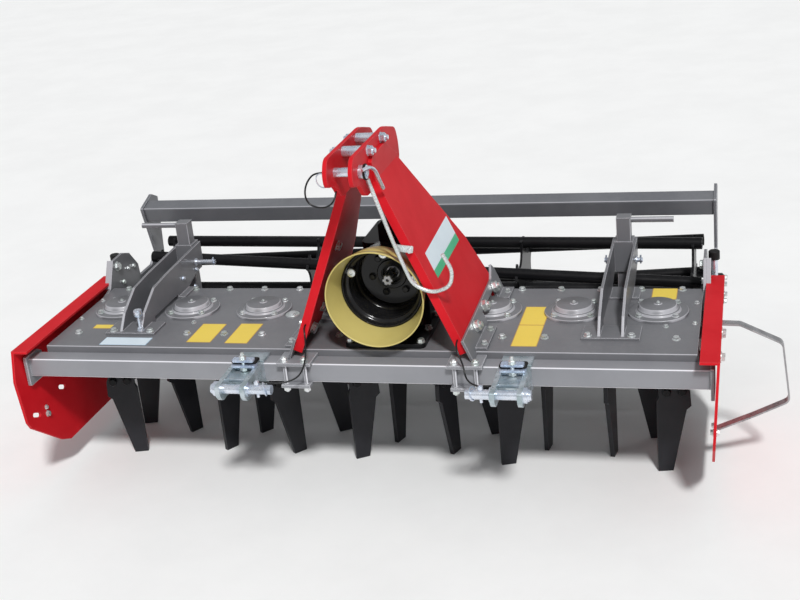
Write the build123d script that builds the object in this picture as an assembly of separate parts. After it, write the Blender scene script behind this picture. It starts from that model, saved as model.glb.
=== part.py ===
from build123d import *
import math
import os

# Power harrow, 2 m wide, with three-point headstock and cage roller.
# Millimetres. X to the right, Y to the rear (away from the tractor), Z up.
# The model is worked out from the rotor row: the rotor axes lie in the plane Y = 0 and the tine tips at Z = 0.
# Every piece is then moved so that the origin is on the floor under the middle of the whole machine.

# Rotor row
rotor_count = 8
rotor_pitch = 250.0
front_tine_azimuths = (-75.0, -33.0, -40.0, -58.0, -19.0, -70.0, -8.0, -79.0)
rotor_centres = [(i - (rotor_count - 1) / 2) * rotor_pitch for i in range(rotor_count)]
running_gap = 5.0
shaft_clearance = 0.08

# Tines: heights above the tip, blade thickness, and widths before and behind the blade's own axis
tine_height = 290.0
tine_thickness = 14.0
tine_radius = 106.0
tine_lead = 24.0
tine_tip_trail = 21.0
tine_shoulder_trail = 77.0
tine_shoulder_height = 214.0

# Rotor hub
hub_thickness = 30.0
hub_boss_radius = 52.0
hub_top = 292.0
rotor_shaft_radius = 22.5
bearing_housing_height = 21.0
bearing_housing_radius = 66.0
bearing_bore_depth = 17.0

# Gear trough, folded from one sheet and closed by the top plate
trough_half_length = 1000.0
trough_front = -200.0
trough_rear = 165.0
trough_wall = 6.0
trough_flange = 25.0
trough_end_wall = 8.0
trough_bottom = hub_top + running_gap + bearing_housing_height
top_plate_front = -298.0
top_plate_thickness = 5.0
top_plate_lip = 26.0
top_plate_top = 474.0
top_plate_under = top_plate_top - top_plate_thickness
gear_block_height = 30.0
gear_block_depth = 230.0

# Bearing covers on the top plate
cover_radius = 90.0
cover_flange = 9.0
cover_cap_radius = 57.0
cover_cap_height = 29.0
cover_nipple_radius = 6.0
cover_nipple_height = 38.0

# Front beam, a square tube with end plates
beam_size = 60.0
beam_wall = 6.0
beam_top = 454.0
beam_front = top_plate_front - beam_size
beam_bottom = beam_top - beam_size
beam_half_length = trough_half_length + 37
beam_end_thickness = 10.0
beam_end_size = 96.0
gusset_thickness = 8.0
gusset_offsets = (190.0, 565.0, trough_half_length - 60)

# Headstock
hitch_x = 102.0
cheek_spacing = 70.0
cheek_thickness = 12.0
cheek_front = -532.0
cheek_top = 1118.0
top_link_y = -470.0
top_link_z = cheek_top - 50
top_pin_radius = 12.5
pin_clearance = 0.5
spacer_radius = 14.0
arm_thickness = 10.0
arm_top = cheek_top - 106
arm_bottom = 490.0
arm_bottom_offset = 262.0
arm_flange = 26.0
arm_front_top = -358.0
arm_front_bottom = -340.0
arm_arch_top = 514.0
arm_arch_half = 96.0
foot_plate = 8.0
clamp_offset = 256.0
clamp_half_width = 52.0
clamp_plate = 10.0
clamp_rod_radius = 6.0
clamp_rod_offset = 31.0

# Lower hitch points
lower_hitch_spacing = 800.0
lower_pin_y = -500.0
lower_pin_z = 437.0
lower_pin_radius = 14.0
lower_pin_washer = 4.0
lower_pin_free = 68.0
ear_spacing = 76.0
ear_thickness = 14.0
hitch_plate = 8.0
stack_half_width = 34.0
stack_plate = 8.0
stack_bolt_radius = 8.0
stack_bolt_top = 508.0

# Drive: gearbox, input shaft and its guard
drive_z = 648.0
gearbox_front = -110.0
gearbox_rear = 120.0
gearbox_width = 190.0
gearbox_top = 740.0
input_shaft_radius = 17.46
input_journal_radius = 20.0
input_shaft_end = -183.0
input_shaft_step = -112.0
input_shaft_seat = -46.0
guard_front = -340.0
guard_rear = -235.0
guard_front_radius = 147.0
guard_rear_radius = 128.0
guard_wall = 4.0
guard_lap = 14.0
guard_fit = 0.3

# Levelling bar on two posts behind the trough
support_x = 753.0
support_plate = 8.0
support_base = 8.0
post_size = 45.0
post_wall = 5.0
post_y = 300.0
post_clearance = 0.5
post_top = 674.0
post_cap = 4.0
handle_radius = 9.0
handle_length = 132.0
sleeve_wall = 7.0
sleeve_bottom = 500.0
sleeve_top = 602.0
level_bar_half_length = trough_half_length - 50
level_bar_height = 150.0
level_bar_bottom = 100.0
level_bar_thickness = 8.0

# Side plates
side_plate_x = trough_half_length + 55
side_plate_thickness = 8.0
side_plate_lean = 3.0
side_plate_top = 494.0
side_flange_width = 46.0
bush_radius = 18.0
bush_z = 400.0
bush_ys = (-150.0, 20.0)
hoop_y = -65.0
hoop_width = 30.0
hoop_thickness = 5.0

# Roller and its frame
roller_y = 575.0
roller_z = 320.0
roller_tube_circle = 180.0
roller_tube_radius = 20.0
roller_tube_wall = 4.0
roller_tube_count = 7
roller_half_length = trough_half_length - 15
roller_first_angle = -10.6
roller_twist = 34.4
roller_shaft_radius = 25.0
roller_shaft_wall = 8.0
star_inset = 30.0
star_stations = (star_inset - roller_half_length, -375.0, 375.0, roller_half_length - star_inset)
star_thickness = 8.0
star_rim = 8.0
star_scallop = 52.0
frame_hinge_y = 300.0
frame_hinge_z = 400.0
frame_hinge_radius = 16.0
bracket_thickness = 8.0
frame_end_x = trough_half_length + bracket_thickness + 14
frame_end_thickness = 10.0
cross_tube_size = 60.0
cross_tube_wall = 5.0
cross_tube_y = 587.0
cross_tube_z = 623.5
cross_tube_tilt = 16.0
bearing_radius = 55.0
bearing_depth = 22.0

# Lanyards of the pins
lanyard_radius = 2.5


def plate_x(points, x, thickness, radius=0.0):
    """A flat plate from x to x + thickness, outlined by (y, z) points."""
    face = Plane.YZ.offset(x) * Polygon(*points, align=None)
    if radius:
        face = fillet(face.vertices(), radius)
    return extrude(face, amount=thickness, dir=(1, 0, 0))


def plate_z(points, z, thickness, radius=0.0):
    """A flat plate from z to z + thickness, outlined by (x, y) points."""
    face = Plane.XY.offset(z) * Polygon(*points, align=None)
    if radius:
        face = fillet(face.vertices(), radius)
    return extrude(face, amount=thickness, dir=(0, 0, 1))


def block(x0, x1, y0, y1, z0, z1):
    """A plain block between two corners."""
    return Pos((x0 + x1) / 2, (y0 + y1) / 2, (z0 + z1) / 2) * Box(x1 - x0, y1 - y0, z1 - z0)


def rod_x(x0, x1, y, z, radius):
    """A round rod along X between any two stations."""
    return Pos((x0 + x1) / 2, y, z) * Rot(0, 90, 0) * Cylinder(radius, abs(x1 - x0))


def rod_y(x, y0, y1, z, radius):
    """A round rod along Y."""
    return Pos(x, (y0 + y1) / 2, z) * Rot(90, 0, 0) * Cylinder(radius, abs(y1 - y0))


def turned_z(profile, x, y):
    """A turned piece about a vertical axis, from (radius, z) points."""
    face = Plane.XZ * Polygon(*profile, align=None)
    return Pos(x, y, 0) * revolve(face, Axis.Z)


def turned_y(profile, x, z):
    """A turned piece about an axis along Y, from (radius, y) points."""
    face = Plane.XY * Polygon(*profile, align=None)
    return Pos(x, 0, z) * revolve(face, Axis.Y)


def mirrored(shape, x=0.0):
    """The mirror image of a piece about the plane X = x."""
    return mirror(shape, Plane.YZ.offset(x))


nodes = {}


def keep(name, *shapes):
    """Files one sub-part under its node name, as one solid or as several that don't touch."""
    solids = [solid for shape in shapes for solid in shape.solids()]
    nodes[name] = solids[0] if len(solids) == 1 else Compound(children=solids)


# Gear trough: floor and walls with folded corners, flanges under the top plate and welded end walls
top_plate_rear = trough_rear + trough_flange
outer_section = Plane.YZ * Polygon(
    (trough_front, trough_bottom),
    (trough_rear, trough_bottom),
    (trough_rear, top_plate_under),
    (trough_front, top_plate_under),
    align=None,
)
outer_section = fillet(outer_section.vertices().sort_by(Axis.Z)[:2], 3 * trough_wall)
inner_section = Plane.YZ * Polygon(
    (trough_front + trough_wall, trough_bottom + trough_wall),
    (trough_rear - trough_wall, trough_bottom + trough_wall),
    (trough_rear - trough_wall, top_plate_under),
    (trough_front + trough_wall, top_plate_under),
    align=None,
)
inner_section = fillet(inner_section.vertices().sort_by(Axis.Z)[:2], 2 * trough_wall)
trough = extrude(outer_section - inner_section, amount=trough_half_length, both=True)
for y0, y1 in ((trough_front - trough_flange, trough_front + 1), (trough_rear - 1, top_plate_rear)):
    trough += block(
        -trough_half_length, trough_half_length, y0, y1, top_plate_under - trough_wall, top_plate_under
    )
whole_section = extrude(outer_section, amount=trough_half_length, both=True)
inside = trough_half_length - trough_end_wall
trough += whole_section - block(-inside, inside, -900, 900, 0, 900)
keep("gear_trough", trough)

# The gear train is closed in: one plain block of its mass on the trough floor
keep(
    "gear_train",
    block(
        -inside + trough_end_wall,
        inside - trough_end_wall,
        -gear_block_depth / 2,
        gear_block_depth / 2,
        trough_bottom + trough_wall,
        trough_bottom + trough_wall + gear_block_height,
    ),
)

# Top plate with its front lip folded down against the beam
lip_bottom = top_plate_top - top_plate_lip
top_plate = block(
    -trough_half_length, trough_half_length, top_plate_front, top_plate_rear, top_plate_under, top_plate_top
)
top_plate += block(
    -trough_half_length,
    trough_half_length,
    top_plate_front,
    top_plate_front + top_plate_thickness,
    lip_bottom,
    top_plate_top,
)
folded_edge = top_plate.edges().filter_by(Axis.X).group_by(Axis.Z)[-1].sort_by(Axis.Y)[0]
keep("top_plate", fillet(folded_edge, 0.8 * top_plate_thickness))

# Bearing covers: a flange, a raised cap and a breather nipple, one over each rotor but the driven one
driven_rotor = min(range(rotor_count), key=lambda i: abs(rotor_centres[i] - hitch_x))
cover_profile = (
    (0, top_plate_top),
    (cover_radius, top_plate_top),
    (cover_radius, top_plate_top + cover_flange),
    (cover_cap_radius + 9, top_plate_top + cover_flange),
    (cover_cap_radius + 5, top_plate_top + cover_flange + 6),
    (cover_cap_radius, top_plate_top + cover_flange + 6),
    (cover_cap_radius - 3, top_plate_top + cover_cap_height),
    (2 * cover_nipple_radius, top_plate_top + cover_cap_height),
    (2 * cover_nipple_radius, top_plate_top + cover_cap_height + 3),
    (cover_nipple_radius, top_plate_top + cover_cap_height + 3),
    (cover_nipple_radius, top_plate_top + cover_nipple_height),
    (0, top_plate_top + cover_nipple_height),
)
covers = [turned_z(cover_profile, x, 0) for i, x in enumerate(rotor_centres) if i != driven_rotor]
keep("bearing_covers", *covers)

# Rotor bearing housings under the trough, each with the blind bore that its rotor shaft runs in
housing_bottom = hub_top + running_gap
housing_bore = rotor_shaft_radius + shaft_clearance
housing_profile = (
    (housing_bore, housing_bottom),
    (bearing_housing_radius - 14, housing_bottom),
    (bearing_housing_radius - 8, housing_bottom + 8),
    (bearing_housing_radius, housing_bottom + 11),
    (bearing_housing_radius, trough_bottom),
    (0, trough_bottom),
    (0, housing_bottom + bearing_bore_depth),
    (housing_bore, housing_bottom + bearing_bore_depth),
)
keep("bearing_housings", *[turned_z(housing_profile, x, 0) for x in rotor_centres])

# Front beam: square tube, closed by end plates that hang a little below it
beam_middle = Plane.YZ * Pos(beam_front + beam_size / 2, beam_top - beam_size / 2)
beam_section = beam_middle * RectangleRounded(beam_size, beam_size, beam_wall)
beam_section -= beam_middle * Rectangle(beam_size - 2 * beam_wall, beam_size - 2 * beam_wall)
keep("front_beam", extrude(beam_section, amount=beam_half_length, both=True))
end_front = beam_front - 12
end_top = beam_top + 8
beam_end = plate_x(
    (
        (end_front, end_top - beam_end_size),
        (end_front + beam_end_size, end_top - beam_end_size),
        (end_front + beam_end_size, lip_bottom),
        (top_plate_front, end_top),
        (end_front, end_top),
    ),
    beam_half_length,
    beam_end_thickness,
    5,
)
keep("beam_end_plates", beam_end, mirrored(beam_end))

# Gussets between beam and trough, under the overhang of the top plate
beam_rear = beam_front + beam_size
gusset_shape = (
    (beam_rear, beam_bottom),
    (trough_front, beam_bottom - 40),
    (trough_front, top_plate_under - trough_wall),
    (trough_front - trough_flange, top_plate_under - trough_wall),
    (trough_front - trough_flange, top_plate_under),
    (top_plate_front + top_plate_thickness, top_plate_under),
    (top_plate_front + top_plate_thickness, lip_bottom),
    (beam_rear, lip_bottom),
)
gusset_xs = [side * offset for side in (-1, 1) for offset in gusset_offsets]
keep("beam_gussets", *[plate_x(gusset_shape, x - gusset_thickness / 2, gusset_thickness) for x in gusset_xs])

# Headstock cheeks: two upright plates that hold the top link pin
cheek_inner = hitch_x + cheek_spacing / 2 - cheek_thickness / 2
cheek_outer = cheek_inner + cheek_thickness
cheek_outline = (
    (cheek_front, cheek_top - 76),
    (cheek_front - 8, cheek_top - 40),
    (cheek_front + 14, cheek_top),
    (-190, cheek_top),
    (-82, cheek_top - 30),
    (-62, cheek_top - 78),
    (-62, cheek_top - 133),
    (-430, cheek_top - 133),
    (-480, cheek_top - 82),
)
link_hole = rod_x(hitch_x - 200, hitch_x + 200, top_link_y, top_link_z, top_pin_radius + pin_clearance)
right_cheek = plate_x(cheek_outline, cheek_inner, cheek_thickness, 8) - link_hole
keep("headstock_cheeks", right_cheek, mirrored(right_cheek, hitch_x))

# Headstock arms: leaning plates with a folded front flange, upright where they lie on the cheeks
arm_top_x = cheek_outer + arm_thickness
arm_bottom_x = hitch_x + arm_bottom_offset
lean = math.degrees(math.atan2(arm_bottom_x - arm_top_x, arm_top - arm_bottom))
lean_out = Vector(math.cos(math.radians(lean)), 0, math.sin(math.radians(lean)))
arm_plane = Plane(origin=(arm_top_x, 0, arm_top), x_dir=(0, 1, 0), z_dir=lean_out)


def on_arm(points, amount):
    """A plate on the outer plane of the right arm, outlined by (y, z) points."""
    slope = math.cos(math.radians(lean))
    local = [(y, (z - arm_top) / slope) for y, z in points]
    direction = lean_out if amount > 0 else lean_out * -1
    return extrude(arm_plane * Polygon(*local, align=None), amount=abs(amount), dir=direction)


def arm_front(z):
    """How far forward the folded edge of an arm is at a height."""
    return arm_front_top + (arm_front_bottom - arm_front_top) * (arm_top - z) / (arm_top - arm_bottom)


def arm_face(z):
    """Where the outer face of the right arm is at a height."""
    return arm_top_x + (arm_bottom_x - arm_top_x) * (arm_top - z) / (arm_top - arm_bottom)


arm_right = on_arm(
    (
        (arm_front_top, arm_top),
        (-122, arm_top),
        (94, arm_bottom + 198),
        (158, arm_bottom),
        (arm_front_bottom, arm_bottom),
    ),
    -arm_thickness,
)
arm_right += on_arm(
    (
        (arm_front_top, arm_top),
        (arm_front_top + arm_thickness, arm_top),
        (arm_front_bottom + arm_thickness, arm_bottom),
        (arm_front_bottom, arm_bottom),
    ),
    -arm_flange,
)
arm_right -= block(hitch_x - 50, cheek_outer, -900, 900, 400, 1200)
arm_right += plate_x(
    (
        (arm_front_top, arm_top - 6),
        (-384, arm_top + 56),
        (-368, arm_top + 70),
        (-236, arm_top + 72),
        (-122, arm_top + 8),
        (-122, arm_top - 6),
    ),
    cheek_outer,
    arm_thickness,
)
arch = block(-2000, 2000, -arm_arch_half, arm_arch_half, 0, arm_arch_top)
arm_right -= arch
keep("headstock_arms", arm_right, mirrored(arm_right, hitch_x))

# Spacers between the cheeks, and the top link pin
spacer_places = ((-244, cheek_top - 18), (-378, cheek_top - 18))
mirror_inner = 2 * hitch_x - cheek_inner
mirror_outer = 2 * hitch_x - cheek_outer
keep("cheek_spacers", *[rod_x(mirror_inner, cheek_inner, y, z, spacer_radius) for y, z in spacer_places])
top_pin = rod_x(mirror_outer - 14, cheek_outer + 20, top_link_y, top_link_z, top_pin_radius)
top_pin += rod_x(cheek_outer, cheek_outer + 20, top_link_y, top_link_z, top_pin_radius + 6)
keep("top_link_pin", top_pin)

# Foot angles outside the arms: pads on the top plate, a web up the arm and a toe on the beam clamp
foot_right = on_arm(
    (
        (-352, arm_bottom + 38),
        (-352, beam_top + clamp_plate),
        (top_plate_front - 1, beam_top + clamp_plate),
        (top_plate_front - 1, top_plate_top),
        (186, top_plate_top),
        (186, arm_bottom + 54),
        (172, arm_bottom + 72),
        (152, arm_bottom + 62),
        (110, arm_bottom + 46),
    ),
    foot_plate,
)
foot_right += block(arm_bottom_x - 34, arm_bottom_x + 46, -290, -130, top_plate_top, top_plate_top + foot_plate)
foot_right += block(arm_bottom_x - 34, arm_bottom_x + 46, 98, 186, top_plate_top, top_plate_top + foot_plate)
foot_right -= block(-2000, 2000, top_plate_front, 900, 0, top_plate_top)
foot_right -= block(-2000, 2000, -900, top_plate_front, 0, beam_top + clamp_plate)
foot_right -= arch
foot_right -= on_arm(((-900, 100), (900, 100), (900, 900), (-900, 900)), -60)
keep("arm_feet", foot_right, mirrored(foot_right, hitch_x))


# Beam clamps under the arms' toes: a cap on the beam and a strap under it, held by two rods before the beam
clamp_front = beam_front - 3 * clamp_rod_radius - 4


def beam_clamp(x):
    left, right = x - clamp_half_width, x + clamp_half_width
    body = block(left, right, clamp_front, top_plate_front, beam_top, beam_top + clamp_plate)
    body += block(left + 8, right - 8, clamp_front, beam_rear - 2, beam_bottom - clamp_plate, beam_bottom)
    for rod_place in (x - clamp_rod_offset, x + clamp_rod_offset):
        rod_height = beam_size + 2 * clamp_plate + 20
        rod = Cylinder(clamp_rod_radius, rod_height)
        body += Pos(rod_place, beam_front - clamp_rod_radius - 3, beam_bottom + beam_size / 2) * rod
    return body


keep("beam_clamps", beam_clamp(hitch_x - clamp_offset), beam_clamp(hitch_x + clamp_offset))


# Lower hitch brackets: two ears and a sloping web clamped round the beam
def lower_hitch(x):
    outer = ear_spacing / 2 + ear_thickness / 2
    inner = outer - ear_thickness
    ear = (
        (beam_front, beam_top + hitch_plate),
        (beam_front - 40, beam_top + hitch_plate),
        (lower_pin_y - 34, lower_pin_z + 20),
        (lower_pin_y - 30, lower_pin_z - 12),
        (lower_pin_y - 12, lower_pin_z - 34),
        (lower_pin_y + 18, lower_pin_z - 30),
        (beam_front - 30, beam_bottom - 10),
        (beam_front, beam_bottom - 10),
    )
    web = (
        (beam_front, beam_top + hitch_plate),
        (beam_front - 40, beam_top + hitch_plate),
        (lower_pin_y + 6, lower_pin_z + 38),
        (lower_pin_y + 10, lower_pin_z + 29),
        (beam_front - 36, beam_top - 2),
        (beam_front - 12, beam_top - 2),
        (beam_front - 12, beam_bottom - 10),
        (beam_front, beam_bottom - 10),
    )
    body = plate_x(ear, x + inner, ear_thickness) + plate_x(ear, x - outer, ear_thickness)
    body += plate_x(web, x - inner, 2 * inner)
    body += block(x - outer, x + outer, beam_front - 1, top_plate_front, beam_top, beam_top + hitch_plate)
    body += block(x - outer, x + outer, beam_front - 1, top_plate_front, beam_bottom - 10, beam_bottom)
    return body - rod_x(x - 200, x + 200, lower_pin_y, lower_pin_z, lower_pin_radius + pin_clearance)


left_hitch_x = hitch_x - lower_hitch_spacing / 2
right_hitch_x = hitch_x + lower_hitch_spacing / 2
keep("lower_hitch_brackets", lower_hitch(left_hitch_x), lower_hitch(right_hitch_x))


# Clamping stacks on the brackets: two steel plates with a rubber pad between them and an upright bolt
def hitch_stack(x):
    base = beam_top + hitch_plate
    front, rear = beam_front - 40, beam_front - 4
    bolt = Cylinder(stack_bolt_radius, stack_bolt_top - base)
    body = Pos(x, (front + rear) / 2, (stack_bolt_top + base) / 2) * bolt
    for level, half in enumerate((stack_half_width, stack_half_width + 4, stack_half_width)):
        bottom = base + level * stack_plate
        body += block(x - half, x + half, front, rear, bottom, bottom + stack_plate)
    return body


keep("hitch_stacks", hitch_stack(left_hitch_x), hitch_stack(right_hitch_x))


# Hitch pins: through both ears, with a head outside and a free end towards the middle
def hitch_pin(x, side):
    outer = ear_spacing / 2 + ear_thickness / 2
    inner_end = outer + lower_pin_washer + lower_pin_free
    pin = rod_x(x - side * inner_end, x + side * (outer + 22), lower_pin_y, lower_pin_z, lower_pin_radius)
    pin += rod_x(x + side * outer, x + side * (outer + 12), lower_pin_y, lower_pin_z, lower_pin_radius + 8)
    washer_end = outer + lower_pin_washer
    return pin + rod_x(x - side * outer, x - side * washer_end, lower_pin_y, lower_pin_z, lower_pin_radius + 7)


keep("lower_hitch_pins", hitch_pin(left_hitch_x, -1), hitch_pin(right_hitch_x, 1))

# Gearbox: base flange, tapered housing, top block and a front rib, open in front for the shaft and guard
gearbox_base_thickness = 14.0
gearbox_base_top = top_plate_top + gearbox_base_thickness
gearbox_base = plate_z(
    (
        (hitch_x - 122, -286),
        (hitch_x + 122, -286),
        (hitch_x + 122, 118),
        (hitch_x - 122, 118),
    ),
    top_plate_top,
    gearbox_base_thickness,
    18,
)
keep("gearbox_base", gearbox_base)
body_y = (gearbox_front + gearbox_rear) / 2
body_depth = gearbox_rear - gearbox_front
shoulder_z = drive_z - 88
lower_outline = Pos(hitch_x, body_y - 25) * RectangleRounded(gearbox_width + 20, body_depth + 20, 30)
upper_outline = Pos(hitch_x, body_y) * RectangleRounded(gearbox_width, body_depth, 30)
gearbox = loft([Plane.XY.offset(gearbox_base_top) * lower_outline, Plane.XY.offset(shoulder_z) * upper_outline])
gearbox += extrude(Plane.XY.offset(shoulder_z) * upper_outline, amount=gearbox_top - shoulder_z, dir=(0, 0, 1))
top_block = Pos(hitch_x + 4, gearbox_front + 56, gearbox_top + 30) * Box(78, 108, 80)
gearbox += chamfer(top_block.edges().filter_by(Axis.Y).group_by(Axis.Z)[-1], 14)
gearbox += plate_x(((-270, gearbox_base_top), (-60, 640), (-60, gearbox_base_top)), hitch_x - 12, 24)
gearbox -= rod_y(hitch_x, guard_front - 20, guard_rear + 20, drive_z, guard_front_radius + 4)
gearbox -= rod_y(hitch_x, guard_rear, gearbox_front, drive_z, guard_rear_radius + 2)
gearbox -= rod_y(hitch_x, gearbox_front - 5, input_shaft_seat + 1, drive_z, input_journal_radius + shaft_clearance)
keep("gearbox", gearbox)

# Input shaft: splined end of the usual size, and a thicker journal in the gearbox
input_shaft = rod_y(hitch_x, input_shaft_end, input_shaft_step, drive_z, input_shaft_radius)
input_shaft += rod_y(hitch_x, input_shaft_step, input_shaft_seat, drive_z, input_journal_radius)
keep("input_shaft", input_shaft)

# Guard cup: stepped black holder on the gearbox face, behind the yellow guard
cup_outer = guard_rear_radius - guard_wall - guard_fit
cup_seat = gearbox_front - 14
cup_step = cup_seat - 32
cup_bore = 104.0
cup_wall = 8.0
cup_profile = (
    (cup_bore, cup_step),
    (cup_bore + cup_wall, cup_step),
    (cup_bore + cup_wall, -216),
    (cup_outer, -222),
    (cup_outer, guard_rear - guard_lap),
    (cup_outer - 6, guard_rear - guard_lap),
    (cup_outer - 6, -228),
    (cup_bore, -222),
)
keep("guard_cup", turned_y(cup_profile, hitch_x, drive_z))
cup_collar_profile = (
    (cup_bore - cup_wall, cup_seat),
    (cup_bore, cup_seat),
    (cup_bore + cup_wall, cup_step),
    (cup_bore, cup_step),
)
keep("cup_collar", turned_y(cup_collar_profile, hitch_x, drive_z))
cup_base_profile = ((30, cup_seat), (cup_bore, cup_seat), (cup_bore, gearbox_front), (30, gearbox_front))
keep("cup_base", turned_y(cup_base_profile, hitch_x, drive_z))
guard_profile = (
    (guard_rear_radius - guard_wall, guard_rear),
    (guard_rear_radius, guard_rear),
    (guard_front_radius, guard_front),
    (guard_front_radius - guard_wall, guard_front),
    (guard_rear_radius - guard_wall, guard_rear - guard_lap),
)
keep("input_guard", turned_y(guard_profile, hitch_x, drive_z))

# Holder for the drive shaft: a bent rod from the cheek, in front of the right arm, on a strip bracket
hook_radius = 5.0
strip_thickness = 6.0
strip_top = arm_top - 192
strip_back = arm_front(strip_top) - 0.4
hook_y = strip_back - strip_thickness - hook_radius + 0.9
hook_path = FilletPolyline(
    (cheek_outer + hook_radius, hook_y - 62, arm_top + 22),
    (arm_face(arm_top - 190) - 44, hook_y, arm_top - 190),
    (arm_face(arm_top - 308) - 50, hook_y, arm_top - 308),
    (arm_face(arm_top - 332) - 2, hook_y, arm_top - 332),
    (arm_face(arm_top - 312) + 56, hook_y, arm_top - 312),
    (arm_face(arm_top - 267) + 84, hook_y, arm_top - 267),
    (arm_face(arm_top - 216) + 80, hook_y, arm_top - 216),
    radius=22,
)
hook_rod = sweep(Plane(origin=hook_path @ 0, z_dir=hook_path % 0) * Circle(hook_radius), path=hook_path)
strip_x = arm_face(strip_top)
hook_rod += block(strip_x - 44, strip_x + 6, strip_back - strip_thickness, strip_back, strip_top - 20, strip_top)
keep("shaft_hook", hook_rod)


# Rotors: a hub with two bolting faces, and two blades on each
def rotor_frame(index):
    return Pos(rotor_centres[index], 0, 0) * Rot(0, 0, front_tine_azimuths[index])


def spin(index):
    return 1 if index % 2 == 0 else -1


def hub(index):
    s = spin(index)
    face = tine_radius - tine_thickness / 2
    outline = (
        (face, -60 * s),
        (face, 14 * s),
        (30, 50 * s),
        (-40, 48 * s),
        (-face, 60 * s),
        (-face, -14 * s),
        (-30, -50 * s),
        (40, -48 * s),
    )
    bar = plate_z(outline, hub_top - hub_thickness - 4, hub_thickness - 6)
    shaft_top = hub_top + running_gap + bearing_bore_depth - 1
    boss = turned_z(
        (
            (0, hub_top - hub_thickness - 14),
            (34, hub_top - hub_thickness - 14),
            (hub_boss_radius, hub_top - hub_thickness),
            (hub_boss_radius, hub_top - 4),
            (hub_boss_radius - 6, hub_top),
            (rotor_shaft_radius, hub_top),
            (rotor_shaft_radius, shaft_top),
            (0, shaft_top),
        ),
        0,
        0,
    )
    return rotor_frame(index) * (bar + boss)


def blade(index, turn):
    s = spin(index)
    outline = (
        (tine_lead - 6, tine_height),
        (tine_lead - 6, tine_height - 42),
        (tine_lead, tine_height - 56),
        (tine_lead, 0),
        (-tine_tip_trail, 0),
        (-tine_shoulder_trail + 14, tine_shoulder_height - 12),
        (-tine_shoulder_trail, tine_shoulder_height),
        (-tine_shoulder_trail + 3, tine_height - 26),
        (-tine_shoulder_trail + 16, tine_height),
    )
    points = [(s * u, z) for u, z in outline]
    return rotor_frame(index) * Rot(0, 0, turn) * plate_x(points, tine_radius - tine_thickness / 2, tine_thickness)


for index in range(rotor_count):
    keep(f"rotor_hub_{index + 1}", hub(index))
    keep(f"tines_{index + 1}", blade(index, 0), blade(index, 180))

# Supports of the levelling bar: two profiled plates on pads, arched over the bearing covers' flanges
sleeve_inner = post_size / 2 + post_clearance
sleeve_outer = sleeve_inner + sleeve_wall
cover_arch = cover_radius + 6


def support(x):
    pad_top = top_plate_top + support_base
    side = (
        (-200, top_plate_top),
        (-200, pad_top),
        (-160, 528),
        (-66, 578),
        (40, 586),
        (post_y + sleeve_outer, 596),
        (post_y + sleeve_outer, 520),
        (250, 500),
        (186, pad_top),
        (186, top_plate_top),
    )
    body = block(x - 84, x + 84, -212, -cover_arch - 24, top_plate_top, pad_top)
    body += block(x - 60, x + 60, cover_arch, 188, top_plate_top, pad_top)
    body += plate_x(side, x + sleeve_outer, support_plate)
    body += plate_x(side, x - sleeve_outer - support_plate, support_plate)
    return body - block(x - 100, x + 100, -cover_arch, cover_arch, 0, pad_top + 8)


def sleeve(x):
    ring = Rectangle(2 * sleeve_outer, 2 * sleeve_outer) - Rectangle(2 * sleeve_inner, 2 * sleeve_inner)
    base = Plane.XY.offset(sleeve_bottom) * Pos(x, post_y)
    return extrude(base * ring, amount=sleeve_top - sleeve_bottom, dir=(0, 0, 1))


keep("bar_supports", support(-support_x), support(support_x))
keep("post_sleeves", sleeve(-support_x), sleeve(support_x))

# Levelling bar and its two posts, which slide in the sleeves
bar_top = level_bar_bottom + level_bar_height


def post(x, side):
    half = post_size / 2
    section = RectangleRounded(post_size, post_size, 4)
    section -= Rectangle(post_size - 2 * post_wall, post_size - 2 * post_wall)
    tube = extrude(Plane.XY.offset(bar_top) * Pos(x, post_y) * section, amount=post_top - bar_top, dir=(0, 0, 1))
    cap = block(x - half, x + half, post_y - half, post_y + half, post_top, post_top + post_cap)
    handle = rod_x(x + side * half, x + side * (half + handle_length), post_y, post_top - handle_radius, handle_radius)
    return tube + cap + handle


keep("levelling_posts", post(-support_x, -1), post(support_x, 1))
bar_front = post_y - post_size / 2 - level_bar_thickness
level_section = (
    (bar_front, level_bar_bottom),
    (bar_front + level_bar_thickness, level_bar_bottom),
    (bar_front + level_bar_thickness, bar_top - level_bar_thickness),
    (post_y + post_size / 2, bar_top - level_bar_thickness),
    (post_y + post_size / 2, bar_top),
    (bar_front, bar_top),
)
keep("levelling_bar", plate_x(level_section, -level_bar_half_length, 2 * level_bar_half_length))

# Side plates: a leaning wall with a folded top flange, on spacer bushes
side_outline = (
    (-402, side_plate_top),
    (-431, 405),
    (-424, 262),
    (-410, 236),
    (-262, 120),
    (-215, 98),
    (225, 95),
    (245, 118),
    (245, side_plate_top),
)
lean_axis = Axis((side_plate_x, 0, side_plate_top), (0, 1, 0))
side_wall = plate_x(side_outline, side_plate_x, side_plate_thickness)
for y, z in ((-366, 262), (-190, 276), (120, 276)):
    slot = Plane.YZ.offset(side_plate_x - 5) * Pos(y, z) * Rot(0, 0, -25) * SlotOverall(46, 14)
    side_wall -= extrude(slot, amount=side_plate_thickness + 10, dir=(1, 0, 0))
side_wall = side_wall.rotate(lean_axis, side_plate_lean)
side_right = side_wall + block(
    side_plate_x - side_flange_width,
    side_plate_x + side_plate_thickness,
    -402,
    245,
    side_plate_top - side_plate_thickness / 2,
    side_plate_top + side_plate_thickness / 2,
)
keep("side_plates", side_right, mirrored(side_right))
outside = block(side_plate_x, side_plate_x + 400, -900, 900, -200, 900).rotate(lean_axis, side_plate_lean)
bushes = [rod_x(trough_half_length, side_plate_x, y, bush_z, bush_radius) - outside for y in bush_ys]
keep("side_bushes", *bushes, *[mirrored(bush) for bush in bushes])

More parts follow.
